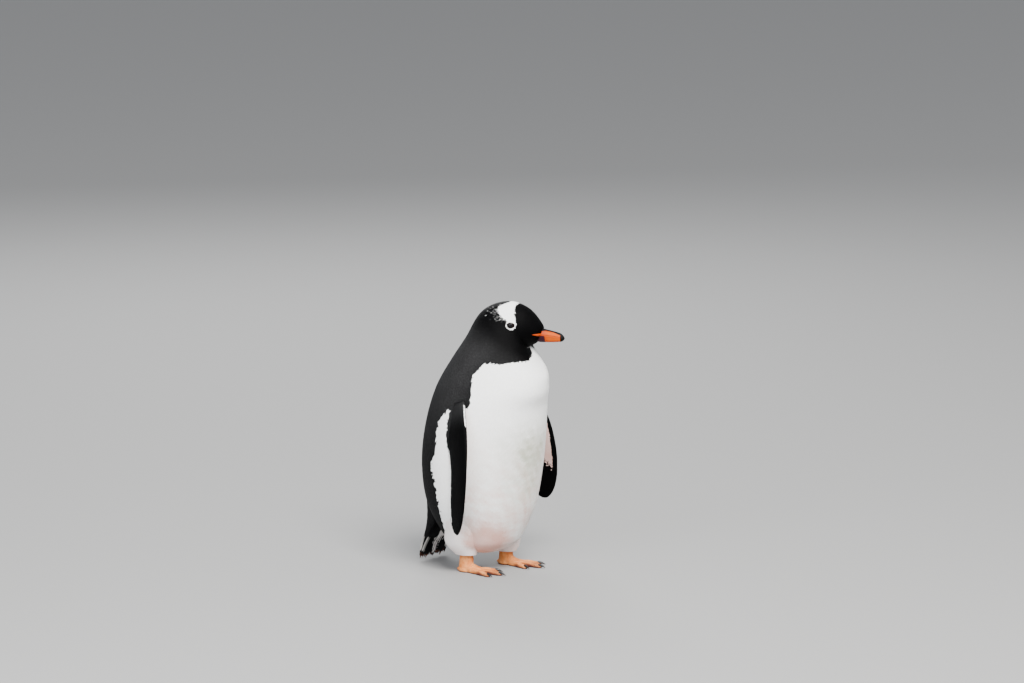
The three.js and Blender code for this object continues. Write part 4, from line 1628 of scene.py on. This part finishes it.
    def dress(self, points: Array) -> tuple[Array, Array]:
        """Values of the foot's skin.

        Args:
            points: places in the frame.

        Returns:
            The value scute (place along a toe in pairs of scutes, share of ridges)
            and how dark the skin is, for every point: dark soles with painted shade along them, painted
            shade between the toes, and darker towards the toe ends.
        """
        own = STANCE.unplace(points) - np.array([self.x, self.f, 0.0])
        along, gap = np.zeros(len(points)), np.full(len(points), 99.0)
        for _, angle, _ in self.toes:
            ahead, side = self.heading(angle)
            off = np.abs(own @ side)
            nearer = (off < gap) & (own @ ahead > 6)
            along = np.where(nearer, own @ ahead, along)
            gap = np.where(nearer, off, gap)
        z = own[:, 2]
        on_toe = smooth((self.toe_half * 0.95 - gap) / 2.0) * smooth((z - 2.5) / 2.0)
        on_toe *= smooth((along - 8) / 6)
        # Painted shade between the toes and along the soles, which are also dark in their own right; darker
        # towards the toe ends too.
        between = smooth((gap - 4.0) / 2.2) * smooth((along - 24) / 18) * smooth((10 - z) / 3)
        sole = smooth((3.0 - z) / 2.0)
        front = smooth((along - 48) / 26) * 0.45
        return (np.stack([along / self.scute / 2.0, on_toe, 0.0 * z], -1),
                np.clip(0.92 * sole + 0.85 * between + front, 0.0, 1.0))

    def claw(self, angle: float, length: float) -> Shape:
        """Curved claw: a tapering tube that arches from the toe's end to the floor.

        Args:
            angle: degrees of its toe.
            length: length of its toe.

        Returns:
            The closed claw with the value claw: place along it, height, nothing.
        """
        s, a = grid_round(26, 18)
        forward = length - 6 + (self.claw_length + 1) * s
        r = self.claw_radius * (1 - 0.80 * s ** 1.5) * np.maximum(0.25, round_end((1.03 - s) / 0.12))
        height = 4.6 + 0.9 * np.sin(math.pi * s) - 2.7 * s ** 2
        keel = 1.0 - 0.14 * np.maximum(0.0, -np.sin(a)) ** 2
        z = np.maximum(height + r * np.sin(a), 0.0)
        points = self.at(forward, r * 0.82 * np.cos(a) * keel, z, angle)
        return tube(points, claw=np.stack([s, np.sin(a), 0 * s], -1))


# ---- eyes

@dataclass
class Eyes:
    """Both eyeballs and the lids round them."""

    radius: float = 8.5
    cornea: float = 0.35  # how far the clear front stands proud
    iris_half: float = 7.2
    opening: Pair = (7.0, 4.9)
    lid_width: float = 2.4
    rim_share: float = 0.36  # share of a lid's width that is the dark rim
    profile: Curve = (  # share of a lid's width outwards, rise over the ball or skin
        (0.00, 0.05), (0.02, 0.55), (0.14, 0.85), (0.30, 0.62), (0.42, 0.40), (0.56, 0.62),
        (0.74, 0.50), (1.00, 0.05), (1.25, -0.9), (0.8, -1.6), (0.2, -1.4))

    def ball(self, side: Side) -> Shape:
        """Eyeball: a sphere of rings about its outward axis with a slightly proud cornea.

        Args:
            side: which eye.

        Returns:
            The closed ball with the value gaze: share of the iris's reach, angle, nothing.
        """
        centre, out, level, up = STANCE.eye_axes(side.value)
        polar, turn = grid_round(np.linspace(0.01, math.pi - 0.01, 60), 56)
        reach = self.radius * np.sin(polar)
        proud = self.cornea * smooth((0.85 - polar) / 0.5)
        away = (self.radius + proud) * np.cos(polar)
        points = (centre + out * away[..., None] + level * (reach * np.cos(turn))[..., None]
                  + up * (reach * np.sin(turn))[..., None])
        front = np.where(polar < math.pi / 2, reach / self.iris_half, 2.0)
        return tube(STANCE.head(points), gaze=np.stack([front, turn, 0 * turn], -1))

    def lids(self, side: Side) -> Shape:
        """Lids: a rim that follows the ball round the opening and sinks into the skin outside.

        The profile goes from the inner edge over a low crest and a fold to the
        outer edge and back underneath.

        Args:
            side: which eye they belong to.

        Returns:
            The closed rim with the value bare: none, dark rim, lid.
        """
        centre, out, level, up = STANCE.eye_axes(side.value)
        profile = np.array(self.profile)
        turn, k = np.meshgrid(np.arange(72) * TAU / 72, np.arange(len(profile)), indexing="ij")
        wide, rise = profile[k, 0] * self.lid_width, profile[k, 1]
        corner = 1.0 + 0.08 * np.cos(turn) ** 8
        level_reach = (self.opening[0] * corner + wide) * np.cos(turn)
        up_reach = (self.opening[1] + wide) * np.sin(turn) - 0.5 * np.cos(turn) ** 2
        flat = np.hypot(level_reach, up_reach)
        on_ball = np.sqrt(np.maximum(0.0, (self.radius + 0.1) ** 2 - flat ** 2))
        on_skin = 5.2 - flat ** 2 / 90.0
        share = smooth(wide / self.lid_width)
        away = on_ball * (1 - share) + on_skin * share + rise
        points = centre + out * away[..., None] + level * level_reach[..., None] + up * up_reach[..., None]
        ink = (np.abs(profile[k, 0]) < self.rim_share) * np.ones_like(turn)
        return ring_torus(STANCE.head(points), bare=np.stack([0.0 * ink, ink, np.ones_like(ink)], -1))

    def build(self, finish: Material) -> None:
        """Adds the two eyeballs."""
        for side in Side:
            Piece.add(f"eyeball_{side.word}", self.ball(side), finish, "eye", (f"eye_{side.word}",))


# ---- bill

class BillHalf(Enum):
    """Half of the bill, as the CAD node that it stands for."""

    UPPER = "bill_upper"
    LOWER = "bill_lower"


@dataclass
class Bill:
    """Upper and lower bill: horn shells that meet along the mouth line."""

    stations: Array = field(default_factory=lambda: np.array([
        # forward, height of the mouth line, half width, rise, drop
        [100, 460, 12, 11, 15], [113, 459, 10.5, 11.8, 16], [127, 458, 8, 10, 14.4],
        [141, 456.5, 6, 8.6, 12], [152, 454.8, 4.4, 7.2, 8.8], [160, 453, 2.4, 4, 4.6],
    ], dtype=float))
    tip_cap: float = 0.9
    rows: int = 90
    points: int = 44
    gape_reach: Pair = (10.92, 11.9)  # body stations of the mouth's corner, rear and front
    gape_turn: Pair = (84.0, 93.0)  # degrees round the head there
    gape_radius: float = 2.2
    nostril_f: float = 129.0  # middle of the nostril's groove
    nostril_share: float = 0.60  # 0 at the mouth line, 1 at the ridge
    hook_f: float = 150.0  # the upper half's edge bends down in front of this
    black_f: float = 149.5  # the tip is black in front of this
    bare_f: float = 124.5  # the lower half is dusky behind this

    def half(self, part: BillHalf) -> Shape:
        """One half of the bill.

        Half an ellipse, closed by the mouth line: the upper one is drawn in beside
        its ridge and hollowed by the nostril's groove, the lower one is keeled.

        Args:
            part: which half.

        Returns:
            The closed shell with its horn values: dark, dusky base, glow.
        """
        upper = part is BillHalf.UPPER
        last = len(self.stations) - 1
        s, a = np.meshgrid(np.linspace(0, 1, self.rows), np.linspace(0, 1, self.points), indexing="ij")
        t = last * (1 - (1 - s) ** 1.6) * 0.998
        f, z, half, rise, drop = np.moveaxis(stations_at(self.stations, t), -1, 0)
        cap = round_end((last - t) / self.tip_cap)
        turn = (a - 0.5) * math.pi  # -90 to 90 degrees, 0 at the ridge
        share = np.cos(turn)
        tall = (rise if upper else drop) * cap
        waist = 1.0 - (0.16 if upper else 0.08) * np.sin(np.pi * np.clip(share, 0, 1)) ** 1.3
        x = half * cap * np.sin(turn) * waist
        if upper:
            groove = ((f - self.nostril_f) / 6.5) ** 2 + ((share - self.nostril_share) / 0.13) ** 2
            x = x * (1 - 0.20 * np.exp(-groove))
        ridge = 1.0 + (0.05 if upper else 0.0) * np.exp(-(turn / 0.28) ** 2) - 0.05
        up = tall * share ** (0.92 if upper else 0.86) * ridge
        hook = 0.9 * smooth((f - self.hook_f) / 10) * (1 - share)
        gap = 0.16 + 0.05 * np.sin(f * 0.5)
        level = z + (gap if upper else -gap - 0.35 * smooth((f - 148) / 8))
        height = level + (up - hook if upper else -up)
        points = np.stack([x, f, np.where(share < 0.02, level, height)], -1)
        dark = self.dark(f, share, part)
        dusk = 0.0 * f if upper else smooth((self.bare_f - f) / 3) * smooth((share + 0.1) / 0.3)
        glow = smooth((f - 118) / 14) * (1 - np.abs(share - 0.45) * 1.2)
        return tube(STANCE.head(points), horn=np.stack([dark, dusk, np.clip(glow, 0, 1)], -1))

    def dark(self, f: Array, share: Array, part: BillHalf) -> Array:
        """How black the horn is: at the tip and on the upper half's ridge, with painted shade along the
        lower half's underside.
        """
        tip = smooth((f - self.black_f) / 5.0)
        if part is BillHalf.LOWER:
            # Painted shade along the lower half's underside.
            return np.clip(tip + smooth((share - 0.90) / 0.08) * 0.7, 0, 1)
        start = 0.76 - 0.20 * smooth((125 - f) / 7) - 0.26 * smooth((f - 136) / 16)
        return np.clip(tip + smooth((share - start) / 0.10), 0, 1)

    def gape(self, side: Side) -> Shape:
        """Fleshy corner of the mouth: a tapering strip that runs back over one cheek.

        Args:
            side: which cheek.

        Returns:
            The closed strip with the bill's horn values.
        """
        s, k = grid_round(30, 12)
        (t_rear, t_front), (low, high) = self.gape_reach, self.gape_turn
        turn = -side.value * np.radians(low + (high - low) * s)
        here = BODY.contact(t_rear + (t_front - t_rear) * s, turn)
        radius = self.gape_radius * MM * (0.35 + 0.65 * smooth(s / 0.8)) * round_end((s + 0.02) / 0.15)
        points = (here.point + unit(here.round) * (1.15 * radius * np.cos(k))[..., None]
                  + here.normal * (0.7 * radius * np.sin(k) - 0.1 * MM)[..., None])
        return tube(points, horn=np.stack([0.0 * s, 0.25 * (1 - s), 0.3 * s], -1))

    def build(self, finish: Material) -> None:
        """Adds both halves, with the mouth's corners on the lower one."""
        Piece.add("bill_top", self.half(BillHalf.UPPER), finish, "bill", (BillHalf.UPPER.value,))
        lower = join([self.half(BillHalf.LOWER)] + [self.gape(side) for side in Side])
        Piece.add("bill_bottom", lower, finish, "bill", (BillHalf.LOWER.value,))


# ---- tail

@dataclass
class TailFeathers:
    """Long stiff feathers that fan from the tail's root to the floor, in an upper and a lower layer."""

    count: int = 15  # in each layer
    half_width: float = 5.8
    thick: float = 0.5
    shaft: float = 0.5
    start: float = 0.28  # where they leave the root, as a share of the tail
    edge: float = 4.5  # the outermost feather's middle lies this far inside the fan's edge
    points: int = 14

    def feather(self, place: float, layer: float, rng: Random) -> Shape:
        """One feather: a thin lens with a raised shaft and a blunt point, bent along the tail's spine.

        Args:
            place: -1 to 1 across the fan.
            layer: 1 for the upper layer, -1 for the lower.
            rng: makes each feather's length and bend its own.

        Returns:
            The closed feather with mark and vane values.
        """
        stop = rng.uniform(0.935, 0.995) - 0.03 * abs(place) ** 3
        s, turn = grid_round(48, self.points)
        f, z, half, thick, out_f, out_z = TAIL.spine(self.start + (stop - self.start) * s)
        across = np.cos(turn)
        blunt = np.clip((1.003 - s) / 0.20, 0.0, 1.0) ** 0.62
        width = self.half_width * blunt * (0.75 + 0.25 * smooth(s / 0.2)) * (1 - 0.12 * s)
        body = self.thick * np.sin(turn) * (1 - 0.5 * s)
        shaft = self.shaft * np.exp(-(across / 0.16) ** 2) * np.sin(turn) * (1 - 0.8 * s)
        vault = np.maximum(thick * math.sqrt(1 - (0.9 * place) ** 2) - 1.3, 0.35)
        droop = -0.9 * across ** 2 * width / self.half_width
        lift = layer * vault + body + shaft + droop + rng.normal() * 0.2 + 0.5 * s * rng.normal()
        x = place * (half - self.edge) + width * across
        points = np.stack([x, f + out_f * lift, np.maximum(z + out_z * lift, 0.15)], -1)
        outer = smooth((abs(place) - 0.72) / 0.1) * smooth((across * np.sign(place) + 0.1) / 0.3)
        pale = outer * smooth((s - rng.uniform(0.36, 0.46)) / 0.12) * smooth((0.90 - s) / 0.06)
        rust = smooth((s - 0.87) / 0.07) * rng.uniform(0.5, 1.0)
        mark = np.stack([pale, np.full_like(s, 0.25), np.maximum(rust, 0.1 * pale)], -1)
        vane = np.stack([s, across, np.full_like(s, rng.uniform())], -1)
        return tube(STANCE.place(points), mark=mark, vane=vane)

    def build(self, finish: Material) -> None:
        """Adds the fan as one piece with its baking map."""
        rng = np.random.default_rng(61)
        parts = []
        for layer, shift in ((1.0, 0.0), (-1.0, 0.5)):
            for k in range(self.count):
                parts.append(self.feather((2.0 * (k + shift) + 0.5) / self.count - 1.0, layer, rng))
        shape = join(parts)
        each = len(parts[0].verts)
        index = np.arange(len(shape.verts)) // each
        vane = shape.values["vane"]
        u = 0.03 + 0.94 * (index + 0.5 + 0.45 * vane[:, 1]) / len(parts)
        shape.corner_uv = np.stack([u, 0.02 + 0.96 * vane[:, 0]], -1)
        Piece.add("tail_feathers", shape, finish, "black_plumage")


# ---- skin

@dataclass
class Skin:
    """One skin under the whole coat, with the bare feet and the lids."""

    body_voxel: float = 0.0030
    foot_voxel: float = 0.00092
    inset: Curve = ((0, 2.9), (6, 2.9), (7.5, 2.1), (8.5, 1.6), (10, 1.3), (12, 1.0))
    flipper_inset: float = 0.75
    fold_at: float = 8.95  # station of the fold between chin and throat
    fold_depth: float = 5.0  # more room under the feathers there
    leg_inset: float = 2.6
    rump_inset: float = 3.6
    off_body: float = 1.01  # a place past this share of the body's surface is on leg or tail
    leg_top: float = 110.0  # below this it is on a leg
    tail_f: float = -75.0  # behind this it is on the tail
    flesh: tuple[str, ...] = ("trunk", "neck", "head", "tail", "flipper_left", "flipper_right",
                              "leg_left", "leg_right", "foot_left", "foot_right")

    def under_coat(self) -> Shape:
        """Trunk, neck, head, thighs and tail root melted together."""
        rows = np.concatenate([[0.02, 0.06, 0.13, 0.25, 0.4, 0.6], np.arange(0.8, 11.3, 0.1),
                               [11.4, 11.5, 11.62, 11.74, 11.85, 11.93, 11.98]])
        turn = (np.arange(160) / 160 + 0.5) % 1.0 * 360.0 - 180.0
        fold = np.exp(-((rows - self.fold_at) / 0.45) ** 2)[:, None] * np.exp(-(turn / 62.0) ** 4)[None]
        inset = (curve_at(self.inset, rows)[:, None] + self.fold_depth * fold) * MM
        shells = [BODY.shell(rows, 160, inset)]
        for leg in LEGS.values():
            shells.append(leg.shell(np.linspace(0, 1, 24), 64, np.full(24, self.leg_inset * MM)))
        shells.append(TAIL.shell(np.linspace(0, 0.7, 30), 64, np.linspace(self.rump_inset, 3.2, 30) * MM))
        shells.append(RUMP.shell(np.linspace(0, 0.92, 30), 64, np.full(30, self.rump_inset * MM)))
        return fuse(join(shells), self.body_voxel, 3)

    def paint(self, shape: Shape, rng: Random) -> Array:
        """Markings of the skin under the coat, as the feathers over it have them.

        Args:
            shape: the melted skin.
            rng: makes the edges ragged.

        Returns:
            (count, 3) white, grey or dirt and painted shade, and stain.
        """
        t, turn, ratio = BODY.locate(shape.verts)
        marks = MARKS.body(t, turn, shape.verts, rng)
        z = shape.verts[:, 2] / MM
        f = STANCE.unplace(shape.verts)[:, 1]
        marks[(ratio > self.off_body) & (z < self.leg_top)] = [1.0, 0.0, 0.1]
        marks[(ratio > self.off_body) & (f < self.tail_f)] = [0.0, 0.0, 0.0]
        return marks

    @staticmethod
    def dress(shape: Shape, **values: Array) -> Shape:
        """The shape with these values, and zeros for the others that the skin carries."""
        blank = np.zeros((len(shape.verts), 3))
        shape.values = {"mark": blank, "bare": blank, "scute": blank} | shape.values | values
        return shape

    def build(self, feet: dict[Side, Foot], eyes: Eyes, finish: Material) -> None:
        """Adds the skin.

        Args:
            feet: both feet.
            eyes: the eyes, for their lids.
            finish: the skin's material.
        """
        rng = np.random.default_rng(5)
        coat = self.under_coat()
        parts = [self.dress(coat, mark=self.paint(coat, rng))]
        for form in FLIPPERS.values():
            rows = np.concatenate([np.linspace(0, 0.95, 60), [0.965, 0.98, 0.99, 0.996]])
            blade = form.shell(rows, 56, np.full(len(rows), self.flipper_inset * MM))
            s, across, out, _ = form.locate(blade.verts)
            parts.append(self.dress(blade, mark=MARKS.flipper(s, across, out, rng)))
        for foot in feet.values():
            flesh = fuse(foot.flesh(), self.foot_voxel, 1)
            flesh.verts[:, 2] = np.maximum(flesh.verts[:, 2], 0.0)
            scute, dark_and_shade = foot.dress(flesh.verts)
            bare = np.stack([np.ones_like(dark_and_shade), dark_and_shade, np.zeros_like(dark_and_shade)], -1)
            parts.append(self.dress(flesh, mark=np.ones_like(scute), scute=scute, bare=bare))
        for side in (Side.RIGHT, Side.LEFT):
            lids = eyes.lids(side)
            parts.append(self.dress(lids, mark=np.ones_like(lids.verts)))
        Piece.add("skin", join(parts), finish, "white_plumage", self.flesh)


# ---- studio

@dataclass(frozen=True)
class Lamp:
    """Square area light that looks at the middle of the bird."""

    name: str
    place: tuple[float, float, float]  # metres
    size: float
    power: float  # watts
    tint: tuple[float, float, float] = (1.0, 1.0, 1.0)
    aim_height: float = 0.28

    def hang(self) -> None:
        """Adds the light."""
        data = bpy.data.lights.new(self.name, "AREA")
        data.size = self.size
        data.energy = self.power
        data.color = self.tint
        lamp = bpy.data.objects.new(self.name, data)
        back = unit(np.array(self.place) - np.array([0.0, 0.0, self.aim_height]))
        flat = math.hypot(back[0], back[1])
        lamp.location = self.place
        lamp.rotation_euler = (math.atan2(flat, back[2]), 0.0, math.atan2(back[0], -back[1]))
        bpy.context.scene.collection.objects.link(lamp)


@dataclass
class Studio:
    """Camera, soft lights and floor."""

    azimuth: float = -50.0  # degrees from -Y towards +X
    elevation: float = 10.0
    distance: float = 10.0
    lens: float = 185.03
    sensor: float = 36.0
    aim_right: float = 0.0475  # metres from the bird's ground point, square to the view
    aim_up: float = 0.430
    floor_half: float = 40.0
    sky: Colour = rgb(0.84, 0.86, 0.90)
    sky_strength: float = 0.86
    lamps: tuple[Lamp, ...] = (
        Lamp("key", (-1.7, -2.9, 4.0), 2.4, 800.0, (1.0, 0.985, 0.96)),
        Lamp("fill", (-3.4, -0.6, 1.6), 2.6, 130.0, (0.95, 0.97, 1.0)),
        Lamp("rim", (2.2, 2.6, 2.6), 2.2, 140.0),
    )

    def camera(self) -> None:
        """Camera at the bird's right front, a little above it and looking slightly down."""
        azimuth, elevation = math.radians(self.azimuth), math.radians(self.elevation)
        back = np.array([math.sin(azimuth) * math.cos(elevation), -math.cos(azimuth) * math.cos(elevation),
                         math.sin(elevation)])
        right = np.array([math.cos(azimuth), math.sin(azimuth), 0.0])
        up = np.cross(back, right)
        target = STANCE.place(np.zeros(3)) + self.aim_right * right + self.aim_up * up
        data = bpy.data.cameras.new("camera")
        data.lens = self.lens
        data.sensor_width = self.sensor
        data.clip_end = 200.0
        camera = bpy.data.objects.new("camera", data)
        camera.location = target + self.distance * back
        camera.rotation_euler = (math.pi / 2.0 - elevation, 0.0, azimuth)
        bpy.context.scene.collection.objects.link(camera)
        bpy.context.scene.camera = camera

    def build(self) -> None:
        """Adds camera, lights, world and floor."""
        self.camera()
        for lamp in self.lamps:
            lamp.hang()
        world = bpy.data.worlds.new("studio")
        world.use_nodes = True
        background = world.node_tree.nodes["Background"]
        background.inputs["Color"].default_value = self.sky
        background.inputs["Strength"].default_value = self.sky_strength
        bpy.context.scene.world = world
        half = self.floor_half
        corners = np.array([[-half, -half, 0], [half, -half, 0], [half, half, 0], [-half, half, 0]])
        floor = bpy.data.objects.new("floor", Piece.mesh("floor", Shape(corners, np.array([[0, 1, 2, 3]]))))
        floor.data.materials.append(FloorFinish().make())
        bpy.context.scene.collection.objects.link(floor)


# ---- main

def main() -> None:
    """Builds the penguin and its studio in order."""
    logging.basicConfig(level=logging.INFO, format="%(name)s %(message)s", stream=sys.stdout, force=True)
    Studio().build()
    LOG.info("studio ready")
    feathers = PlumageFinish().make()
    feet = {side: Foot(leg.x, leg.f, side) for side, leg in LEGS.items()}
    eyes = Eyes()
    Skin().build(feet, eyes, SkinFinish().make())
    eyes.build(EyeFinish().make())
    Bill().build(BillFinish().make())
    horn = ClawFinish().make()
    for side, foot in feet.items():
        for toe, angle, length in foot.toes:
            name = f"{side.word}_{toe}"
            Piece.add(f"talon_{name}", foot.claw(angle, length), horn, "claw", (f"claw_{name}",))
    TailFeathers().build(feathers)
    plumage = Plumage()
    plumage.cover_body(feathers)
    for side in FLIPPERS:
        plumage.cover_flipper(side, feathers)
    for side in LEGS:
        plumage.cover_leg(side, feathers)
    plumage.cover_tail(feathers)
    plumage.cover_rump(feathers)


if __name__ == "__main__":
    main()
